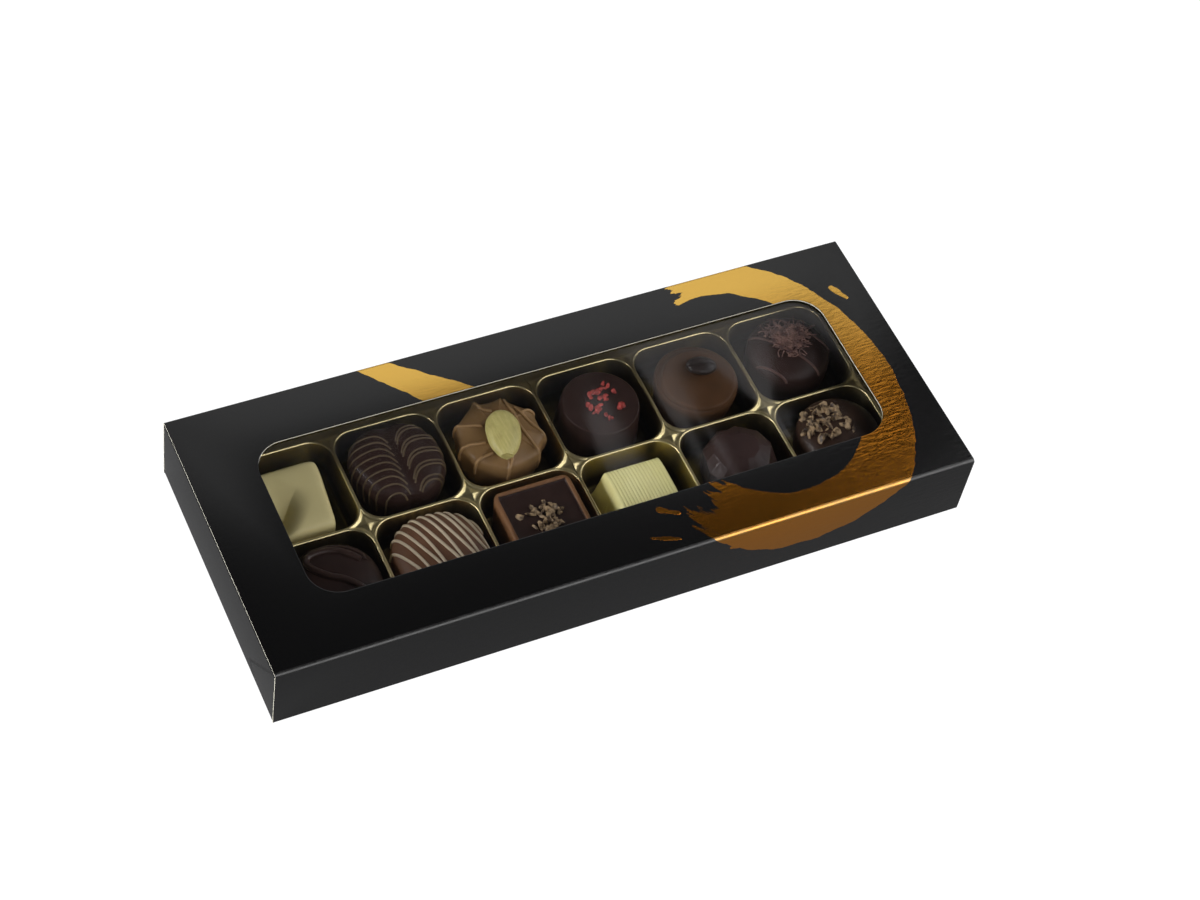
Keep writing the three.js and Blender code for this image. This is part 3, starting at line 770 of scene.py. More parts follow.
def goldMaterial(spec):
    s = Shading("goldTray")
    where = s.coords()
    clouds = s.grain(where, 90.0, 2.0)
    scuff = s.grain(s.stretched(where, (260, 260, 60)), 1.0, 1.0, 0.5)
    litShare = s.span(s.split(where)["Z"], 5.0 * mm, 14.2 * mm)  # painted shade: the gold darkens down into the deep cells
    crest = s.tint(clouds, spec["paleGold"], spec["brightGold"])
    shader = s.principled(**{
        "Base Color": s.tint(litShare, spec["shadedWallGold"], crest),
        "Metallic": 1.0,
        "Roughness": s.span(scuff, 0.3, 0.7, 0.30, 0.36),
    })
    return s.show(shader.outputs[0])


def rimDistance(x, y, centre):
    qx = abs(x - centre[0]) - (tray["pitchX"] - tray["rib"]) / 2 + tray["corner"]
    qy = abs(y - centre[1]) - (tray["pitchY"] - tray["rib"]) / 2 + tray["corner"]
    return math.hypot(max(qx, 0.0), max(qy, 0.0)) + min(max(qx, qy), 0.0) - tray["corner"]


def ridgeHeight(x, y, side):
    away = min(rimDistance(x, y, centre) for centre in cells[side])
    half = tray["rib"] / 2
    if away < half:
        lean = (half - max(away, 0.0)) / half
        return tray["crest"] - tray["ribRound"] * half * (1 - math.sqrt(max(1 - lean * lean, 0.0)))
    endX = tray["columns"] * tray["pitchX"]
    beyond = ease(max(abs(x) - endX, abs(y) - tray["pitchY"]), -2.0, 1.0)
    drop = blend(tray["dish"], tray["crest"] - tray["flange"], beyond)
    knoll = tray["knoll"] * ease(away - half, 0.7, 2.9) * (1 - ease(beyond, 0.0, 0.3))  # between four cells
    return tray["crest"] - drop * ease(away - half, 0.0, blend(0.9, 1.1, beyond)) + knoll


def cellRim(centre):
    halfX = (tray["pitchX"] - tray["rib"]) / 2
    halfY = (tray["pitchY"] - tray["rib"]) / 2
    arc = roundedLoop(centre[0] - halfX, centre[0] + halfX, centre[1] - halfY, centre[1] + halfY,
                      tray["corner"], tray["cornerSteps"])
    perCorner = tray["cornerSteps"] + 1
    rim = []
    for quarter in range(4):
        for i in range(perCorner):
            angle = (quarter + i / tray["cornerSteps"]) * math.pi / 2
            rim.append((*arc[quarter * perCorner + i], math.cos(angle), math.sin(angle)))
        start = arc[quarter * perCorner + perCorner - 1]
        end = arc[(quarter + 1) * perCorner % len(arc)]
        turn = (quarter + 1) * math.pi / 2
        for i in range(1, tray["sideSteps"]):
            share = i / tray["sideSteps"]
            rim.append((blend(start[0], end[0], share), blend(start[1], end[1], share),
                        math.cos(turn), math.sin(turn)))
    return rim


def cellRings(centre, side):
    rim = cellRim(centre)
    rings = []
    foot = -(tray["crest"] - tray["floor"]) * tray["draft"]
    for share in (0.35, 0.7):
        rings.append([(blend(centre[0], x + nx * (foot - tray["footRound"]), share),
                       blend(centre[1], y + ny * (foot - tray["footRound"]), share), tray["floor"])
                      for x, y, nx, ny in rim])
    for i in range(tray["footSteps"] + 1):
        angle = i / tray["footSteps"] * math.pi / 2
        off = foot - tray["footRound"] * (1 - math.sin(angle))
        z = tray["floor"] + tray["footRound"] * (1 - math.cos(angle))
        rings.append([(x + nx * off, y + ny * off, z) for x, y, nx, ny in rim])
    shoulder = tray["crest"] - tray["ribRound"] * tray["rib"] / 2
    for i in range(1, tray["wallSteps"] + 1):
        z = blend(tray["floor"] + tray["footRound"], shoulder, i / tray["wallSteps"])
        off = -(shoulder - z) * tray["draft"]
        rings.append([(x + nx * off, y + ny * off, z) for x, y, nx, ny in rim])
    reaches = []
    for x, y, nx, ny in rim:
        jointX = tray["pitchX"] / 2
        if abs(centre[0]) < tray["pitchX"] and nx * side < 0:
            jointX -= tray["slit"]  # the trays meet here, with a slit between them
        toX = (jointX - abs(x - centre[0])) / max(abs(nx), 1e-6)
        toY = (tray["pitchY"] / 2 - abs(y - centre[1])) / max(abs(ny), 1e-6)
        nearer = min(toX, toY)
        reaches.append((toX, toY) if abs(toX - toY) < tray["reachTie"] else (nearer, nearer))
    for i in range(1, tray["topSteps"] + 1):
        share = (i / tray["topSteps"]) ** tray["topCrowd"]
        ring = []
        for (x, y, nx, ny), (reachX, reachY) in zip(rim, reaches):
            px, py = x + nx * reachX * share, y + ny * reachY * share
            ring.append((px, py, ridgeHeight(px, py, side)))
        rings.append(ring)
    return rings


def flangeLines(side):
    # rows that run round the block of cells, along the front, the outer end and the rear
    endX = tray["columns"] * tray["pitchX"]
    endY = tray["pitchY"]
    rim = [p for centre in cells[side] for p in cellRings(centre, side)[-1]]
    rowX = sorted({round(abs(p[0]), 4) for p in rim if abs(abs(p[1]) - endY) < 1e-3})
    rowY = sorted({round(p[1], 4) for p in rim if abs(abs(p[0]) - endX) < 1e-3})
    turns = [a / 8 * math.pi / 2 for a in range(1, 9)]
    edge = [(x, -endY, 0.0, -1.0) for x in rowX]
    edge += [(endX, -endY, math.sin(turn), -math.cos(turn)) for turn in turns]
    edge += [(endX, y, 1.0, 0.0) for y in rowY]
    edge += [(endX, endY, math.cos(turn), math.sin(turn)) for turn in turns]
    edge += [(x, endY, 0.0, 1.0) for x in reversed(rowX)]
    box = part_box("tray_left")
    outX = abs(box[0][0]) / mm
    outY = abs(box[0][1]) / mm
    radius = tray["skirtCorner"]

    def outside(x, y):
        qx = x - outX + radius
        qy = abs(y) - outY + radius
        return math.hypot(max(qx, 0.0), max(qy, 0.0)) + min(max(qx, qy), 0.0) - radius

    reaches = []
    for x, y, nx, ny in edge:
        low, high = 0.0, 30.0
        for _ in range(30):
            half = (low + high) / 2
            if outside(x + nx * half, y + ny * half) < 0:
                low = half
            else:
                high = half
        reaches.append(low)
    lines = []
    for off in tray["flangeSteps"]:
        spots = [(side * (x + nx * off), y + ny * off) for x, y, nx, ny in edge]
        lines.append([(x, y, ridgeHeight(x, y, side)) for x, y in spots])
    levels = [(back, tray["flange"] - down) for back, down in tray["skirt"]]
    for back, level in levels + [(0.0, tray["skirtFoot"])]:
        lines.append([(side * (x + nx * (reach - back)), y + ny * (reach - back), level)
                      for (x, y, nx, ny), reach in zip(edge, reaches)])
    return lines


def buildTray(name, side):
    points, faces = [], []
    for centre in cells[side]:
        rings = cellRings(centre, side)
        count = len(rings[0])
        base = len(points)
        points += [p for ring in rings for p in ring]
        faces += rowFaces(len(rings), count, base)
        middle = len(points)
        points.append((centre[0], centre[1], tray["floor"]))
        faces += [(middle, base + i, base + (i + 1) % count) for i in range(count)]
    lines = flangeLines(side)
    faces += rowFaces(len(lines), len(lines[0]), len(points), closed=False)
    points += [p for line in lines for p in line]
    shell = linkMesh(name, points, faces)
    work = bmesh.new()
    work.from_mesh(shell.data)
    bmesh.ops.remove_doubles(work, verts=work.verts, dist=0.004 * mm)
    bmesh.ops.dissolve_degenerate(work, dist=1e-7, edges=work.edges)
    lip = [e for e in work.edges if e.is_boundary
           and all(abs(abs(v.co.x) - tray["slit"] * mm) < 1e-5 and v.co.z > 12 * mm for v in e.verts)]
    made = bmesh.ops.extrude_edge_only(work, edges=lip)["geom"]
    for vert in (g for g in made if isinstance(g, bmesh.types.BMVert)):
        vert.co.z -= tray["lip"] * mm
    bmesh.ops.recalc_face_normals(work, faces=work.faces)
    firstFloor = Vector((*cells[side][0], tray["floor"])) * mm
    floor = min(work.faces, key=lambda f: (f.calc_center_median() - firstFloor).length)
    if floor.normal.z < 0:
        bmesh.ops.reverse_faces(work, faces=work.faces)
    work.to_mesh(shell.data)
    work.free()
    thick = shell.modifiers.new("sheet", "SOLIDIFY")
    thick.thickness = tray["sheet"] * mm
    thick.offset = -1.0
    applyModifiers(shell)
    shell.data.shade_smooth()
    shell.data.set_sharp_from_angle(angle=math.radians(50))
    return dress(shell, ["tray_left" if side < 0 else "tray_right"], gold)


gold = goldMaterial(tray)
buildTray("left_tray_shell", -1)
buildTray("right_tray_shell", 1)
print("trays done")


# the sweets

def seatOf(node):
    low, high = [corner / mm for corner in map(Vector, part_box(node))]
    return (low + high) / 2, (high - low) / 2, low.z


def superOval(halfX, halfY, power):
    def reach(angle):
        along = abs(math.cos(angle) / halfX) ** power
        across = abs(math.sin(angle) / halfY) ** power
        return (along + across) ** (-1 / power)
    return reach


def softened(corners, times=2):
    # rounds a profile by cutting its corners
    for _ in range(times):
        cut = [corners[0]]
        for (ax, az), (bx, bz) in zip(corners, corners[1:]):
            cut.append((blend(ax, bx, 0.25), blend(az, bz, 0.25)))
            cut.append((blend(ax, bx, 0.75), blend(az, bz, 0.75)))
        corners = cut + [corners[-1]]
    return corners


def domeCorners(foot, shoulder, fullness, steps=7):
    corners = [(foot, 0.0), (blend(foot, 1.0, 0.8), shoulder * 0.5), (1.0, shoulder)]
    for i in range(1, steps + 1):
        angle = i / (steps + 1) * math.pi / 2
        rise = math.sin(angle) ** fullness
        corners.append((math.cos(angle) ** fullness, shoulder + (1 - shoulder) * rise))
    return corners + [(0.02, 1.0)]


def mould(name, node, corners, height, outline=None, relief=None, sectors=150, ringStep=0.5, soft=2,
          sharpAngle=45.0, drift=None):
    # a sweet from its profile, as shares of the outline and of the height, with any relief on top
    centre, half, foot = seatOf(node)
    outline = outline or (lambda angle, lift: superOval(half.x, half.y, 2.0)(angle))
    profile = softened(corners, soft)
    radius = (half.x + half.y) / 2
    levels = [profile[0]]
    for (ax, az), (bx, bz) in zip(profile, profile[1:]):
        size = math.hypot((bx - ax) * radius, (bz - az) * height)
        pieces = max(1, round(size / (ringStep if bx < 0.97 else 1.2)))
        levels += [(blend(ax, bx, k / pieces), blend(az, bz, k / pieces)) for k in range(1, pieces + 1)]
    rings = []
    for spread, lift in levels:
        ring = []
        for i in range(sectors):
            angle = i / sectors * fullTurn
            reach = outline(angle, lift) * spread
            x, y = reach * math.cos(angle), reach * math.sin(angle)
            z = height * lift + (relief(x, y, lift, angle) if relief else 0.0)
            dx, dy = drift(lift) if drift else (0.0, 0.0)
            ring.append((centre.x + x + dx, centre.y + y + dy, foot + max(z, 0.0)))
        rings.append(ring)
    return linkMesh(name, *loftFaces(rings), sharpAngle=sharpAngle)


whiteChocolate = chocolate("whiteChocolate", (0.71, 0.62, 0.295), (0.79, 0.69, 0.345), 0.36, 90.0,
                           0.008, 0.02)
creamChocolate = chocolate("creamChocolate", (0.97, 0.90, 0.40), (1.0, 0.95, 0.45), 0.5, 120.0, 0.02, 0.03)
milkChocolate = chocolate("milkChocolate", (0.215, 0.125, 0.050), (0.275, 0.160, 0.066), 0.40)
cupChocolate = chocolate("cupChocolate", (0.064, 0.0295, 0.0120), (0.086, 0.0395, 0.016), 0.46, sheen=0.13)
stripedChocolate = chocolate("stripedChocolate", (0.125, 0.058, 0.031), (0.162, 0.076, 0.041), 0.5,
                             200.0, 0.04)
rimChocolate = chocolate("rimChocolate", (0.19, 0.090, 0.038), (0.25, 0.120, 0.052), 0.42)
nutChocolate = chocolate("nutDomeChocolate", (0.040, 0.020, 0.012), (0.056, 0.029, 0.018), 0.46, sheen=0.24)
darkChocolate = chocolate("darkChocolate", (0.024, 0.0112, 0.0088), (0.034, 0.0165, 0.0128), 0.44, sheen=0.22)
gemChocolate = chocolate("gemChocolate", (0.036, 0.018, 0.016), (0.048, 0.024, 0.021), 0.42, sheen=0.3)
# the bead is glossier, and a lighter chocolate than the dome as a painted highlight
litBeadChocolate = chocolate("litBeadChocolate", (0.036, 0.019, 0.015), (0.050, 0.027, 0.021), 0.30, sheen=0.45)
plumChocolate = chocolate("petalDomeChocolate", (0.024, 0.012, 0.010), (0.034, 0.017, 0.014), 0.44,
                          sheen=0.22)


# white sweet with a fold across it

whiteSpec = {
    "power": 8.0, "height": 15.2, "creaseStart": (3.0, 4.2), "creaseEnd": (-7.4, -6.8),
    "depth": 6.0, "slope": 7.5, "spread": 11.0, "fall": 1.8, "lean": 0.10, "bow": 0.8,
    "profile": ((0.93, 0), (0.99, 0.3), (1.0, 0.7), (0.985, 0.86), (0.93, 0.965), (0.80, 1.0), (0.5, 1.0),
                (0.02, 1.0)),  # share of the outline, share of the height
}


def buildWhiteFold(spec):
    half = seatOf("praline_white_fold")[1]
    oval = superOval(half.x / 1.02, half.y / 1.02, spec["power"])
    (fromX, fromY), (toX, toY) = spec["creaseStart"], spec["creaseEnd"]
    run = math.hypot(toX - fromX, toY - fromY)
    dirX, dirY = (toX - fromX) / run, (toY - fromY) / run

    def outline(angle, lift):
        reach = oval(angle) * (1 + 0.02 * math.cos(angle - 0.5))
        flank = math.cos(angle) - spec["lean"] * math.sin(angle)  # the right side leans in towards the front
        if flank > 0.2:
            reach = (reach ** -14 + ((half.x - spec["lean"] * half.y) / flank) ** -14) ** (-1 / 14)
        return reach

    def relief(x, y, lift, angle):
        along = (x - fromX) * dirX + (y - fromY) * dirY
        aside = (y - fromY) * dirX - (x - fromX) * dirY
        aside += spec["bow"] * math.sin(min(max(along / run, 0.0), 1.0) * math.pi)
        # the low side runs level up to the crease, and the slope of the ridge starts there with a kink
        if aside > 0:
            side = (1 - min(aside / spec["slope"], 1.0)) ** 2
        else:
            side = bell(aside, spec["spread"])
        valley = side * ease(along / run, 0.0, 0.75)
        fall = spec["fall"] * ease(-y, -half.y, half.y)
        return (0.25 - spec["depth"] * valley - fall) * ease(lift, 0.55, 0.95)

    obj = mould("white_fold_sweet", "praline_white_fold", spec["profile"], spec["height"] - 0.3, outline,
                relief, sectors=220, ringStep=0.24, sharpAngle=80.0)
    dress(obj, ["praline_white_fold"], whiteChocolate)


# dark sweet with feathered lines

featherSpec = {
    "height": 17.2, "notch": 1.3, "vein": 1.1, "veinX": 0.4, "lineRadius": 0.31, "lineDrop": 9.0,
    "leftStarts": 10, "leftStep": 2.75, "rightPairs": 6, "rightStep": 5.1, "pairGap": 1.35,
    "facets": ((199, 14.0), (219, 14.7), (246, 14.6)),  # flats cut at the front left: degrees, reach
    "profile": ((0.88, 0), (0.95, 0.35), (1.0, 0.66), (0.93, 0.87), (0.80, 0.945), (0.5, 0.99), (0.02, 1.0)),
    "lineColours": ((0.092, 0.064, 0.035), (0.125, 0.088, 0.048)),
}


def buildFeather(spec):
    centre, half = seatOf("praline_feather")[:2]
    oval = superOval(half.x, half.y, 2.25)
    facets = [(math.radians(a), reach) for a, reach in spec["facets"]]

    def dip(angle, at, width):
        return bell(math.atan2(math.sin(angle - at), math.cos(angle - at)), width)

    def outline(angle, lift):
        reach = oval(angle)
        for at, distance in facets:
            cosine = math.cos(angle - at)
            if cosine > 0.6:
                reach = min(reach, distance / cosine)
        return reach - spec["notch"] * dip(angle, -1.58, 0.17) - 0.8 * dip(angle, 1.5, 0.22)

    def relief(x, y, lift, angle):
        return -spec["vein"] * bell(x - spec["veinX"], 2.4) * ease(lift, 0.7, 0.95)

    obj = mould("feather_sweet", "praline_feather", spec["profile"], spec["height"], outline, relief,
                sectors=180, soft=1, ringStep=0.4)
    dress(obj, ["praline_feather"], darkChocolate)

    surface = surfaceOf(obj)
    middle = (centre.x, centre.y)
    lines = []

    def featherLine(side, startY, reach, curl, tail):
        # out from the vein: a run that bends, then one nearly level to the rim
        plan = []
        for i in range(26):
            share = i / 25
            x = spec["veinX"] + side * (0.7 + reach * share)
            y = startY + tail * (1 - math.exp(-share * curl)) - 2.0 * share * share
            plan.append((centre.x + x, centre.y + y))
        return plan

    plans = [featherLine(-1, 8.6 - i * spec["leftStep"] - 4.0, 15.0, 7.0, 6.0)
             for i in range(spec["leftStarts"])]
    plans += [featherLine(1, 8.4 - i * spec["rightStep"] + pair - 5.4, 14.6, 6.0, 7.0)
              for i in range(spec["rightPairs"]) for pair in (0.0, spec["pairGap"])]
    for plan in plans:
        line = laidLine(surface, plan[1:], 0.02)
        lines.append(line + sideRun(surface, line, spec["lineDrop"], middle))
    finish = chocolate("featherLines", *spec["lineColours"], 0.45)
    threadPiece("feather_lines", lines, spec["lineRadius"], finish)


# milk chocolate sweet in pleats, with an almond

pleatSpec = {
    "height": 14.6, "twist": 10.0, "scallop": 1.15, "sag": 1.6, "lip": 0.6,
    "ridgeEnds": (20, 66, 103, 151, 187, 215, 258, 306, 335),  # degrees round the rim
    "ridges": (                                                # stops of the thin folds, from the rim in
        ((-13.2, 7.0), (-9.8, 5.4), (-5.1, 3.4)), ((-14.4, -1.9), (-11.4, -2.2), (-6.7, -3.2)),
        ((-11.9, -8.4), (-9.8, -8.0), (-6.0, -7.6)), ((-2.9, -14.2), (-1.2, -12.2), (-0.2, -9.6)),
        ((9.0, -11.4), (7.6, -6.1), (6.5, -0.6), (6.7, 5.8), (6.2, 11.9)),
        ((13.6, -5.9), (12.2, -3.0), (10.2, 1.0), (8.2, 7.6)), ((13.4, 4.2), (11.4, 4.9), (9.2, 4.4)),
        ((-3.2, 13.6), (-2.8, 10.3), (0.2, 8.1))),
    "ridgeRadius": 0.5, "ridgeLift": 0.28, "ridgeDrop": 5.0,
    "profile": ((0.88, 0), (0.95, 0.3), (1.0, 0.68), (0.98, 0.86), (0.90, 0.945), (0.7, 0.985), (0.45, 1.0),
                (0.02, 1.0)),
    # the fold ridges are a paler chocolate than the body: a painted highlight along them
    "litRidgeColours": ((0.33, 0.200, 0.090), (0.41, 0.250, 0.115)),
}


def buildPleated(spec):
    centre, half = seatOf("praline_pleated")[:2]
    radius = min(half.x, half.y)
    ends = [math.radians(a) for a in spec["ridgeEnds"]]

    def pleat(angle, out):
        # share of the way between two ridges, which sweep back towards the middle
        turned = (angle - math.radians(spec["twist"]) * (1 - out)) % fullTurn
        for k, start in enumerate(ends):
            stop = ends[(k + 1) % len(ends)] + (fullTurn if k == len(ends) - 1 else 0)
            at = turned if turned >= ends[0] else turned + fullTurn
            if start <= at < stop:
                return (at - start) / (stop - start)
        return 0.0

    def outline(angle, lift):
        share = pleat(angle, 1.0)
        fullness = 0.45 + 0.55 * ease(lift, 0.2, 0.8)
        return radius - spec["scallop"] * math.sin(math.pi * share) ** 0.7 * fullness

    def relief(x, y, lift, angle):
        out = min(math.hypot(x, y) / radius, 1.0)
        share = pleat(angle, out)
        sag = spec["sag"] * (math.sin(math.pi * share) ** 0.6 * 0.6 + 0.4 * share)
        return (spec["lip"] - sag * ease(out, 0.3, 0.9)) * ease(out, 0.25, 0.7) * ease(lift, 0.45, 0.9)

    obj = mould("pleated_sweet", "praline_pleated", spec["profile"], spec["height"], outline, relief,
                sectors=270, ringStep=0.4, sharpAngle=75.0)
    dress(obj, ["praline_pleated"], milkChocolate)
    surface = surfaceOf(obj)
    middle = (centre.x, centre.y)
    lines = []
    for stops in spec["ridges"]:
        plan = [(centre.x + x * 0.985, centre.y + y * 0.985) for x, y in throughPoints(stops, 12)]
        line = laidLine(surface, plan, spec["ridgeLift"])
        if len(line) > 3:
            lines.append(sideRun(surface, line[::-1], spec["ridgeDrop"], middle)[::-1] + line)
    # painted highlight: the ridges are paler than the body
    finish = chocolate("ridgeHighlightChocolate", *spec["litRidgeColours"], 0.36)
    threadPiece("pleat_ridges", lines, spec["ridgeRadius"], finish, sides=10)


almondSpec = {
    "length": 18.9, "width": 12.4, "thick": 5.8, "turn": -16.0, "stations": 46, "sides": 40,
    "roundness": 2.25, "taper": 0.24, "tipShare": 0.07, "chip": 0.55, "ripple": 0.05,
    "colours": ((0.54, 0.475, 0.155), (0.70, 0.625, 0.24)), "patches": (0.45, 0.38, 0.14),
}


def almondMaterial(spec):
    s = Shading("peeledAlmond")
    where = s.coords()
    streaks = s.grain(s.stretched(where, (1500, 130, 700), (0, 0, 9)), 1.0, 4.0, 0.65)
    clouds = s.grain(where, 260.0, 2.0)
    colour = s.tint(s.span(streaks, 0.35, 0.65), *spec["colours"])
    shader = s.principled(**{
        "Base Color": s.tint(s.span(clouds, 0.55, 0.75, 0.0, 0.5), colour, spec["patches"]),
        "Roughness": s.span(streaks, 0.3, 0.7, 0.34, 0.5),
        "Subsurface Weight": 0.08,
        "Subsurface Radius": (0.002, 0.0015, 0.0008),
        "Normal": s.bump(streaks, 0.16),
    })
    return s.show(shader.outputs[0])


def buildAlmond(spec):
    centre = seatOf("almond")[0]
    stations, sides = spec["stations"], spec["sides"]
    turn = math.radians(spec["turn"])
    rings = []
    for i in range(stations):
        share = (i + 0.5) / stations  # 0 at the front tip, 1 at the broad rear end
        around = math.sqrt(max(1 - abs(2 * (share + 0.01) / 1.01 - 1.0) ** spec["roundness"], 0.0))
        around = max(around, 0.44 * ease(-share, -0.5, -0.3))
        taper = 1.0 - spec["taper"] * (1 - share) ** 1.6
        ring = []
        for k in range(sides):
            angle = k / sides * fullTurn
            chip = 0.0
            if share < spec["tipShare"]:
                chip = spec["chip"] * abs(math.sin(2.5 * angle + 0.6))
            across = spec["width"] / 2 * around * taper * math.cos(angle)
            up = spec["thick"] / 2 * around ** 0.75 * math.sin(angle)
            along = (share - 0.5) * spec["length"] + chip * (1 - share / spec["tipShare"])
            ripple = spec["ripple"] * math.sin(9 * angle + 3 * noise.noise((along / 5, angle, 2.0)))
            across *= 1 + ripple * 0.25
            x, y = turned(across, along, turn)
            ring.append((centre.x + x * 0.97, centre.y + y * 0.97, centre.z + up))
        rings.append(ring[::-1])
    obj = linkMesh("almond_kernel", *loftFaces(rings), sharpAngle=55.0)
    dress(obj, ["almond"], almondMaterial(spec))


# dark flat sweet with raspberry crumbs

redSpec = {
    "height": 15.7, "rim": 0.906,
    "crumbs": ((3.0, 5.6), (4.8, 5.2), (6.2, 3.2), (-2.0, 3.6), (-1.0, 4.6), (0.6, 3.9), (1.9, 0.9),
               (0.6, 2.1), (2.4, 1.9), (-5.0, -0.4), (-4.4, -1.4), (-3.4, -3.4), (-1.6, -2.2), (-2.6, -2.9),
               (-0.8, -1.0), (-0.4, -6.0), (0.4, -7.2), (6.4, -3.0), (7.0, -4.4), (5.0, -4.8), (6.0, -4.0),
               (3.9, 6.6)),
    "bits": {"size": 1.7, "smallest": (0.5, 0.4, 0.4), "largest": (1.25, 0.85, 0.8), "rough": 2.3,
             "facets": 2, "seed": 5},
    "colours": ((0.24, 0.018, 0.014), (0.62, 0.085, 0.065)),
}


def berryMaterial(spec):
    return crumbMaterial("driedRaspberry", 700.0, 3.0, spec["colours"], 0.15, (0.32, 0.55), 0.2, **{
        "Subsurface Weight": 0.15, "Subsurface Radius": (0.0015, 0.0004, 0.0003)})


def buildRedCrumb(spec):
    centre = seatOf("praline_red_crumb")[0]
    rim = spec["rim"]
    corners = [(0.975, 0), (1.0, 0.06), (0.985, 0.3), (rim + 0.03, 0.93), (rim + 0.012, 0.985),
               (rim - 0.012, 1.0), (rim - 0.05, 0.99), (0.5, 0.985), (0.02, 0.985)]
    obj = mould("crumb_sweet", "praline_red_crumb", corners, spec["height"], soft=2)
    dress(obj, ["praline_red_crumb"], darkChocolate)
    surface = surfaceOf(obj)
    draw = random.Random(4)
    points = []
    for x, y in spec["crumbs"]:
        for lift in (0.35, 0.75):
            dx, dy = draw.uniform(-0.55, 0.55), draw.uniform(-0.55, 0.55)
            points.append(onTop(surface, centre.x + x * 0.92 + dx, centre.y + y * 0.92 + dy, lift))
    bitPiece("raspberry_crumbs", points, spec["bits"], berryMaterial(spec))


# milk chocolate cup with a coffee bean

cupSpec = {
    "height": 15.1, "discDrift": (0.2, -1.35), "discFoot": (0.86, 0.90),  # the disc sits off the middle
    "profile": ((0.86, 0), (0.95, 0.35), (1.0, 0.70), (1.0, 0.79), (0.985, 0.84), (0.955, 0.865),
                (0.925, 0.862), (0.905, 0.885), (0.89, 0.94), (0.86, 0.972), (0.80, 0.982), (0.5, 0.995),
                (0.02, 1.0)),
}
beanSpec = {
    "length": 10.3, "width": 7.3, "thick": 4.2, "turn": -20.0, "furrow": 0.6, "furrowWide": 0.38, "bow": 0.5,
    "stations": 44, "sides": 36, "colours": ((0.012, 0.008, 0.007), (0.022, 0.014, 0.012)),
}


def buildCup(spec):
    def drift(lift):
        moved = ease(lift, *spec["discFoot"])
        return spec["discDrift"][0] * moved, spec["discDrift"][1] * moved

    obj = mould("cup_sweet", "praline_cup", spec["profile"], spec["height"], soft=2, ringStep=0.3,
                drift=drift)
    dress(obj, ["praline_cup"], cupChocolate)


def buildBean(spec):
    centre = seatOf("coffee_bean")[0]
    turn = math.radians(spec["turn"])
    rings = []
    for i in range(spec["stations"]):
        t = -math.cos((i + 0.5) / spec["stations"] * math.pi)
        around = math.sqrt(1 - t * t)
        ring = []
        for k in range(spec["sides"]):
            angle = k / spec["sides"] * fullTurn
            along = t * spec["length"] / 2
            across = spec["width"] / 2 * around * math.cos(angle)
            up = math.sin(angle)
            z = spec["thick"] / 2 * around * (up if up > 0 else 0.9 * up)
            bend = across - spec["bow"] * math.sin(t * 2.4)
            if up > 0:
                z -= spec["furrow"] * bell(bend, spec["furrowWide"]) * around
            x, y = turned(along, across, turn)
            ring.append((centre.x + x * 0.98, centre.y + y * 0.98, centre.z + z))
        rings.append(ring)
    obj = linkMesh("roasted_bean", *loftFaces(rings), sharpAngle=80.0)
    finish = chocolate("roastedBean", *spec["colours"], 0.34, 300.0, 0.05)
    dress(obj, ["coffee_bean"], finish)


# dark dome with petal crumbs and three fine ribs

petalSpec = {
    "height": 17.0, "dome": (0.93, 0.62, 0.72),  # share of the foot, height of the shoulder, fullness
    "ribTurn": -53.0, "ribs": (-13.2, -3.9, 6.7), "ribRadius": 0.42,
    "middle": (0.2, 2.4), "reach": (8.6, 8.4), "shreds": 260, "shredLong": (1.4, 3.8), "shredRadius": 0.17,
    "flakes": 170,
    "bits": {"size": 1.5, "smallest": (0.35, 0.15, 0.25), "largest": (1.1, 0.5, 0.7), "rough": 1.3,
             "facets": 2, "seed": 11},
    "colours": ((0.072, 0.033, 0.029), (0.27, 0.150, 0.118)),
    # the raised ribs are paler than the dome: a painted highlight along them
    "litRibColours": ((0.085, 0.046, 0.038), (0.11, 0.06, 0.05)),
}


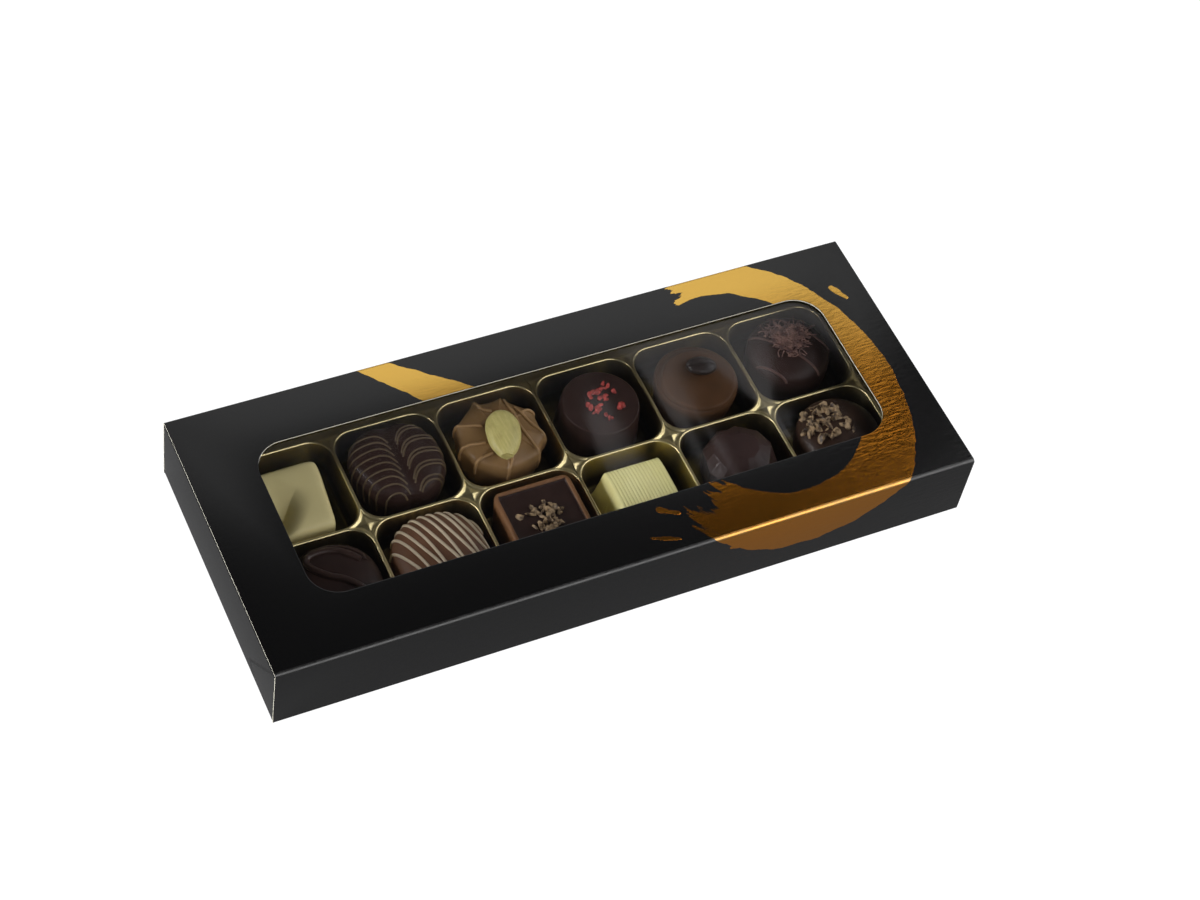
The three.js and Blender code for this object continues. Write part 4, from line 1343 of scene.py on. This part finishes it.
def buildPetal(spec):
    centre, half = seatOf("praline_petal")[:2]
    obj = mould("petal_sweet", "praline_petal", domeCorners(*spec["dome"]), spec["height"])
    dress(obj, ["praline_petal"], plumChocolate)
    surface = surfaceOf(obj)
    turn = math.radians(spec["ribTurn"])
    lines = []
    for offset in spec["ribs"]:
        plan = []
        for i in range(61):
            bow = 0.8 * math.sin(i / 60 * math.pi)
            x, y = turned((i / 30 - 1) * half.x, offset + bow, turn)
            plan.append((centre.x + x, centre.y + y))
        lines.append(laidLine(surface, plan, 0.1))
    # painted highlight: the ribs are a paler chocolate
    litRibs = chocolate("ribHighlightChocolate", *spec["litRibColours"], 0.42)
    threadPiece("petal_ribs", lines, spec["ribRadius"], litRibs)

    draw = random.Random(31)

    def heapSpot():
        while True:
            angle = draw.uniform(0, fullTurn)
            out = draw.random() ** 0.62
            edge = 0.78 + 0.22 * math.sin(3 * angle + 0.8)
            x = spec["middle"][0] + spec["reach"][0] * out * edge * math.cos(angle)
            y = spec["middle"][1] + spec["reach"][1] * out * edge * math.sin(angle)
            if math.hypot(x, y) < half.x * 0.88:
                return x, y, out

    finish = crumbMaterial("driedPetal", 420.0, 2.0, spec["colours"], 0.12, (0.4, 0.6), 0.08)
    points = []
    for _ in range(spec["flakes"]):
        x, y, out = heapSpot()
        points.append(onTop(surface, centre.x + x, centre.y + y, draw.uniform(0.05, 0.6) * (1 - 0.5 * out)))
    bitPiece("petal_flakes", points, spec["bits"], finish)
    curls = []
    for _ in range(spec["shreds"]):
        x, y, out = heapSpot()
        start = onTop(surface, centre.x + x, centre.y + y, draw.uniform(0.1, 0.8) * (1 - 0.6 * out))
        heading = draw.uniform(0, fullTurn)
        length = draw.uniform(*spec["shredLong"])
        bend = draw.uniform(-1.6, 1.6)
        rise = draw.uniform(-0.12, 0.3)
        curl = [start]
        for k in range(1, 7):
            heading += bend / 6
            px, py, pz = curl[-1]
            step = length / 6
            top = onTop(surface, px + step * math.cos(heading), py + step * math.sin(heading), 0.12)
            if top is None:
                break
            curl.append((top[0], top[1], max(top[2], pz + rise * step)))
        curls.append(curl)
    threadPiece("petal_shreds", curls, spec["shredRadius"], finish, step=0.4, sides=5)


# dark dome with a looped bead

swirlSpec = {
    "height": 16.7, "dome": (0.92, 0.58, 0.8), "power": 2.2,
    "beadRadius": 1.1, "sunk": 0.1, "lineRadius": 0.6, "lineSunk": 0.0,
    "loop": ((9.2, 3.8), (6.1, 7.1), (3.1, 9.4), (-1.3, 10.6), (-5.1, 10.2), (-6.8, 7.9), (-5.6, 4.5),
             (-2.2, 0.7), (1.7, -1.8), (5.2, -5.2), (7.4, -8.0)),
    "trail": ((10.6, 3.6), (10.4, 6.2), (6.8, 9.8), (1.5, 12.0), (-4.6, 12.0)),
}


def buildSwirl(spec):
    centre, half = seatOf("praline_swirl")[:2]
    oval = superOval(half.x, half.y, spec["power"])
    obj = mould("swirl_sweet", "praline_swirl", domeCorners(*spec["dome"]), spec["height"],
                lambda angle, lift: oval(angle))
    dress(obj, ["praline_swirl"], darkChocolate)
    surface = surfaceOf(obj)
    for name, stops, radius, sunk in (("swirl_bead", "loop", "beadRadius", "sunk"),
                                      ("swirl_trail", "trail", "lineRadius", "lineSunk")):
        plan = [(centre.x + x, centre.y + y) for x, y in throughPoints(spec[stops])]
        line = laidLine(surface, plan, spec[sunk])
        threadPiece(name, [line], spec[radius], litBeadChocolate, sides=14)


# milk chocolate dome with fine cream stripes

stripeSpec = {
    "height": 16.8, "dome": (0.92, 0.54, 0.76), "power": 2.3, "lineRadius": 0.5, "lineDrop": 3.0,
    "rearY": 13.0, "frontY": -5.2, "bow": 0.7,
    "rear": (-17.6, -14.3, -10.6, -7.5, -4.6, -1.4, 1.3, 4.1, 6.4, 9.0, 11.4),   # x of each line at rearY, mm
    "front": (-9.8, -7.2, -3.6, -1.9, 2.4, 3.9, 8.0, 9.5, 12.9, 14.2, 18.0),     # and at frontY
    "lineColours": ((0.52, 0.43, 0.30), (0.60, 0.50, 0.35)),
}


def buildStriped(spec):
    centre, half = seatOf("praline_striped")[:2]
    oval = superOval(half.x, half.y, spec["power"])
    obj = mould("striped_sweet", "praline_striped", domeCorners(*spec["dome"]), spec["height"],
                lambda angle, lift: oval(angle))
    dress(obj, ["praline_striped"], stripedChocolate)
    surface = surfaceOf(obj)
    lines = []
    for i, (rearX, frontX) in enumerate(zip(spec["rear"], spec["front"])):
        plan = []
        for k in range(56):
            y = blend(14.9, -14.6, k / 55)
            into = (spec["rearY"] - y) / (spec["rearY"] - spec["frontY"])
            bow = spec["bow"] * math.sin(into * math.pi) * (0.6 if i % 2 else -0.6)
            plan.append((centre.x + blend(rearX, frontX, into) + bow, centre.y + y))
        line = laidLine(surface, plan, 0.02)
        if len(line) > 3:
            rear = sideRun(surface, line[::-1], spec["lineDrop"], (centre.x, centre.y))
            lines.append(rear[::-1] + line)
    finish = chocolate("creamLines", *spec["lineColours"], 0.45)
    threadPiece("cream_lines", lines, spec["lineRadius"], finish, sides=10)


# square cup with cocoa nibs

squareSpec = {
    "height": 14.8, "corner": 2.6, "rim": 1.45, "recess": 1.0, "draft": 0.5,
    "nibs": 44, "middle": (0.6, -0.6), "reach": (6.0, 7.2),
    "bits": {"size": 3.3, "smallest": (0.35, 0.25, 0.2), "largest": (1.35, 0.85, 0.5), "rough": 2.6,
             "facets": 1, "seed": 21},
}


nibColours = ((0.050, 0.028, 0.015), (0.48, 0.335, 0.185))
nibFinish = crumbMaterial("cocoaNib", 620.0, 3.0, nibColours, 0.12, (0.45, 0.7), 0.15)


def nibPoints(surface, centre, spec, seedNumber, high):
    draw = random.Random(seedNumber)
    points = []
    while len(points) < spec["nibs"]:
        angle = draw.uniform(0, fullTurn)
        out = math.sqrt(draw.random())
        x = centre.x + spec["middle"][0] + spec["reach"][0] * out * math.cos(angle)
        y = centre.y + spec["middle"][1] + spec["reach"][1] * out * math.sin(angle)
        spot = onTop(surface, x, y, 0.25 + high * draw.random() * (1 - out))
        if spot:
            points.append(spot)
    return points


def buildSquare(spec):
    centre, half, foot = seatOf("praline_square")
    top = spec["height"]
    reach = min(half.x, half.y)
    rim, floorLevel = spec["rim"], top - spec["recess"]
    levels = [(spec["draft"] + 0.3, 0.0), (spec["draft"], 0.4), (0.04, top - 1.0), (0.1, top - 0.35),
              (0.35, top - 0.08), (0.6, top), (rim - 0.4, top), (rim - 0.1, top - 0.15), (rim, top - 0.5),
              (rim + 0.15, floorLevel + 0.1), (rim + 0.45, floorLevel)]
    rings = []
    for inset, z in levels:
        size = reach - inset
        radius = max(spec["corner"] - inset * 0.8, 0.8)
        loop = roundedLoop(centre.x - size, centre.x + size, centre.y - size, centre.y + size, radius, 10)
        rings.append([(x, y, foot + z) for x, y in loop])
    for shrink in (0.7, 0.4, 0.1):
        loop = roundedLoop(centre.x - reach * shrink, centre.x + reach * shrink, centre.y - reach * shrink,
                           centre.y + reach * shrink, 0.8, 10)
        rings.append([(x, y, foot + floorLevel + 0.12 * (1 - shrink)) for x, y in loop])
    obj = linkMesh("square_sweet", *loftFaces(rings), sharpAngle=60.0)
    dress(obj, ["praline_square"])
    obj.data.materials.append(rimChocolate)
    obj.data.materials.append(darkChocolate)
    inside = reach - rim - 0.05
    for face in obj.data.polygons:
        x, y, z = face.center / mm
        flat = max(abs(x - centre.x), abs(y - centre.y)) < inside
        face.material_index = 1 if flat and z > foot + floorLevel - 0.3 else 0
    surface = surfaceOf(obj)
    points = nibPoints(surface, centre, spec, 7, 1.3)
    points += [onTop(surface, centre.x - 8.2, centre.y + 2.6, 0.2)]
    bitPiece("square_nibs", points, spec["bits"], nibFinish)


# pale ribbed bar

ribSpec = {
    "ribs": 17, "depth": 0.22, "perRib": 8, "endLean": 2.8, "topShare": 0.84, "across": 150,
    "endRib": 1.35, "endDepth": 0.2,
}


def evenly(line, count):
    # the same open line with its points spread evenly
    lengths = [0.0]
    for a, b in zip(line, line[1:]):
        lengths.append(lengths[-1] + math.dist(a, b))
    spread, at = [], 0
    for i in range(count + 1):
        goal = lengths[-1] * i / count
        while at < len(line) - 2 and lengths[at + 1] < goal:
            at += 1
        share = (goal - lengths[at]) / max(lengths[at + 1] - lengths[at], 1e-9)
        spread.append([blend(p, q, share) for p, q in zip(line[at], line[at + 1])])
    return spread


def buildRibbed(spec):
    centre, half, foot = seatOf("praline_ribbed")
    height = 2 * half.z
    topHalf = half.x - spec["endLean"]
    count = spec["ribs"] * spec["perRib"]
    rings = []

    def section(x, high, wide, ribbed=0.0):
        top = wide * spec["topShare"]
        corners = [(wide, 0.0), (blend(wide, top, 0.5), high * 0.45), (top + 0.2, high * 0.84),
                   (top - 0.5, high * 0.95), (top * 0.6, high * 0.995), (0.0, high)]
        flank = softened(corners, 2)
        whole = flank + [(-y, z) for y, z in reversed(flank[:-1])]
        ring = []
        for y, z in evenly(whole, spec["across"]):
            wave = abs(math.sin(y / spec["endRib"] * math.pi)) ** 0.7 - 1
            ring.append((centre.x + x + ribbed * spec["endDepth"] * wave, centre.y + y, foot + z))
        return ring

    def endRing(share, side):
        # the slanted ends, side -1 at the left and 1 at the right
        ribbed = side if share in (0.25, 0.5, 0.75) else 0.0
        x = side * (half.x - spec["endLean"] * share)
        return section(x, blend(0.7, height, share ** 0.9), half.y - 0.25, ribbed)

    shares = (0.0, 0.25, 0.5, 0.75, 0.94)
    rings += [endRing(share, -1.0) for share in shares]
    for i in range(count + 1):
        x = blend(-topHalf, topHalf, i / count)
        wave = abs(math.sin(i / spec["perRib"] * math.pi)) ** 0.7
        rings.append(section(x, height - spec["depth"] * (1 - wave), half.y - spec["depth"] * (1 - wave)))
    rings += [endRing(share, 1.0) for share in reversed(shares)]
    obj = linkMesh("ribbed_bar", *loftFaces(rings), sharpAngle=50.0)
    dress(obj, ["praline_ribbed"], creamChocolate)


# dark cut gem

gemSpec = {
    "table": 5.3, "crown": 9.6, "height": 17.2, "sides": 8, "edge": 0.22,
    "footShare": 0.94, "girdleLevel": 0.62, "crownLevel": 0.86,
}


def buildGem(spec):
    centre, half, foot = seatOf("praline_gem")
    girdle = half.x
    flat = math.cos(math.pi / spec["sides"])
    rings = []
    height = spec["height"]
    for radius, z, cornersOnly in ((girdle * spec["footShare"], 0.0, True),
                                   (girdle, height * spec["girdleLevel"], True),
                                   (spec["crown"], height * spec["crownLevel"], False),
                                   (spec["table"], height - 0.05, True)):
        ring = []
        for i in range(2 * spec["sides"]):
            angle = (i + 0.5) / (2 * spec["sides"]) * fullTurn
            reach = radius * (flat if (i % 2 == 1) == cornersOnly else 1.0) * 1.015
            ring.append((centre.x + reach * math.cos(angle), centre.y + reach * math.sin(angle), foot + z))
        rings.append(ring)
    obj = linkMesh("gem_sweet", *loftFaces(rings), sharpAngle=3.0)
    bevel = obj.modifiers.new("edge", "BEVEL")
    bevel.width = spec["edge"] * mm
    bevel.segments = 2
    bevel.angle_limit = math.radians(8)
    applyModifiers(obj)
    dress(obj, ["praline_gem"], gemChocolate)


# dark milk dome with a heap of cocoa nibs

nibSpec = {
    "height": 16.9, "dome": (0.93, 0.58, 0.8), "nibs": 60, "middle": (-4.4, 2.9), "reach": (8.4, 7.0),
    "bits": {"size": 3.8, "smallest": (0.3, 0.25, 0.16), "largest": (1.4, 0.9, 0.48), "rough": 2.9,
             "facets": 1, "seed": 33},
}


def buildNibDome(spec):
    centre = seatOf("praline_nib")[0]
    obj = mould("nib_sweet", "praline_nib", domeCorners(*spec["dome"]), spec["height"])
    dress(obj, ["praline_nib"], nutChocolate)
    surface = surfaceOf(obj)
    points = nibPoints(surface, centre, spec, 19, 0.9)
    points += [onTop(surface, centre.x + 2.6, centre.y - 3.4, 0.3)]
    bitPiece("dome_nibs", points, spec["bits"], nibFinish)


buildWhiteFold(whiteSpec)
buildFeather(featherSpec)
buildPleated(pleatSpec)
buildAlmond(almondSpec)
buildRedCrumb(redSpec)
buildCup(cupSpec)
buildBean(beanSpec)
buildPetal(petalSpec)
print("rear row done")
buildSwirl(swirlSpec)
buildStriped(stripeSpec)
buildSquare(squareSpec)
buildRibbed(ribSpec)
buildGem(gemSpec)
buildNibDome(nibSpec)
print("front row done")


# studio: pale floor, soft light

studio = {
    "floorHalf": 6.0, "floorDrop": 0.2,  # m, mm
    "floorColour": (0.10, 0.10, 0.102), "floorGlow": 0.095, "seenGlow": 0.86,
    "horizon": 0.85, "zenith": 0.03, "fadeLow": 0.3, "fadeHigh": 0.6,
    "lights": (  # name, place, aim, width, depth, power
        ("frontBox", (0.50, -1.30, 1.00), (0.0, 0.0, 0.0), 2.0, 1.3, 37.0),
        ("rightBox", (1.45, -0.12, 1.15), (0.0, 0.0, 0.0), 1.4, 1.3, 28.0),
        ("leftFill", (-1.30, 0.15, 0.45), (-0.45, 0.0, 0.0), 0.9, 0.5, 38.0),
        ("rearPanel", (0.60, 1.31, 1.30), (0.60, 1.31, 0.0), 0.82, 0.76, 1.75),
        ("hazePanel", (0.72, 0.865, 1.30), (0.72, 0.865, 0.0), 0.20, 0.13, 0.072),
    ),
}


def addLight(name, place, aim, width, depth, power):
    data = bpy.data.lights.new(name, "AREA")
    data.shape = "RECTANGLE"
    data.size = width
    data.size_y = depth
    data.energy = power
    light = bpy.data.objects.new(name, data)
    light.location = place
    light.rotation_mode = "QUATERNION"
    light.rotation_quaternion = (Vector(aim) - Vector(place)).to_track_quat("-Z", "Y")
    scene.collection.objects.link(light)


def floorMaterial(spec):
    s = Shading("paleFloor")
    # a backlit table: most of its glow is seen but lights nothing
    seen = s.times(s.add("LightPath").outputs["Is Camera Ray"], spec["seenGlow"])
    shader = s.principled(**{
        "Base Color": (*spec["floorColour"], 1.0),
        "Roughness": 0.9,
        "Specular IOR Level": 0.1,
        "Emission Color": (1.0, 1.0, 1.0, 1.0),
        "Emission Strength": s.plus(seen, spec["floorGlow"]),
    })
    return s.show(shader.outputs[0])


def lightWorld(spec):
    # a sky that is pale at the horizon and dark overhead
    world = bpy.data.worlds.new("studioWorld")
    world.use_nodes = True
    scene.world = world
    tree = world.node_tree
    coords = addNode(tree, "ShaderNodeTexCoord")
    split = addNode(tree, "ShaderNodeSeparateXYZ", {0: coords.outputs["Generated"]})
    fade = addNode(tree, "ShaderNodeMapRange", {
        "Value": split.outputs["Z"], "From Min": spec["fadeLow"], "From Max": spec["fadeHigh"],
        "To Min": spec["horizon"], "To Max": spec["zenith"]}, interpolation_type="SMOOTHSTEP")
    background = tree.nodes["Background"]
    background.inputs["Color"].default_value = (1.0, 1.0, 1.0, 1.0)
    tree.links.new(fade.outputs[0], background.inputs["Strength"])


def buildStudio(spec):
    size, drop = spec["floorHalf"] / mm, -spec["floorDrop"]
    corners = [(-size, -size, drop), (size, -size, drop), (size, size, drop), (-size, size, drop)]
    floor = linkMesh("studioFloor", corners, [(0, 1, 2, 3)])
    floor.data.materials.append(floorMaterial(spec))
    lightWorld(spec)
    for light in spec["lights"]:
        addLight(*light)
    scene.view_settings.view_transform = "Standard"


buildStudio(studio)
print("studio done")
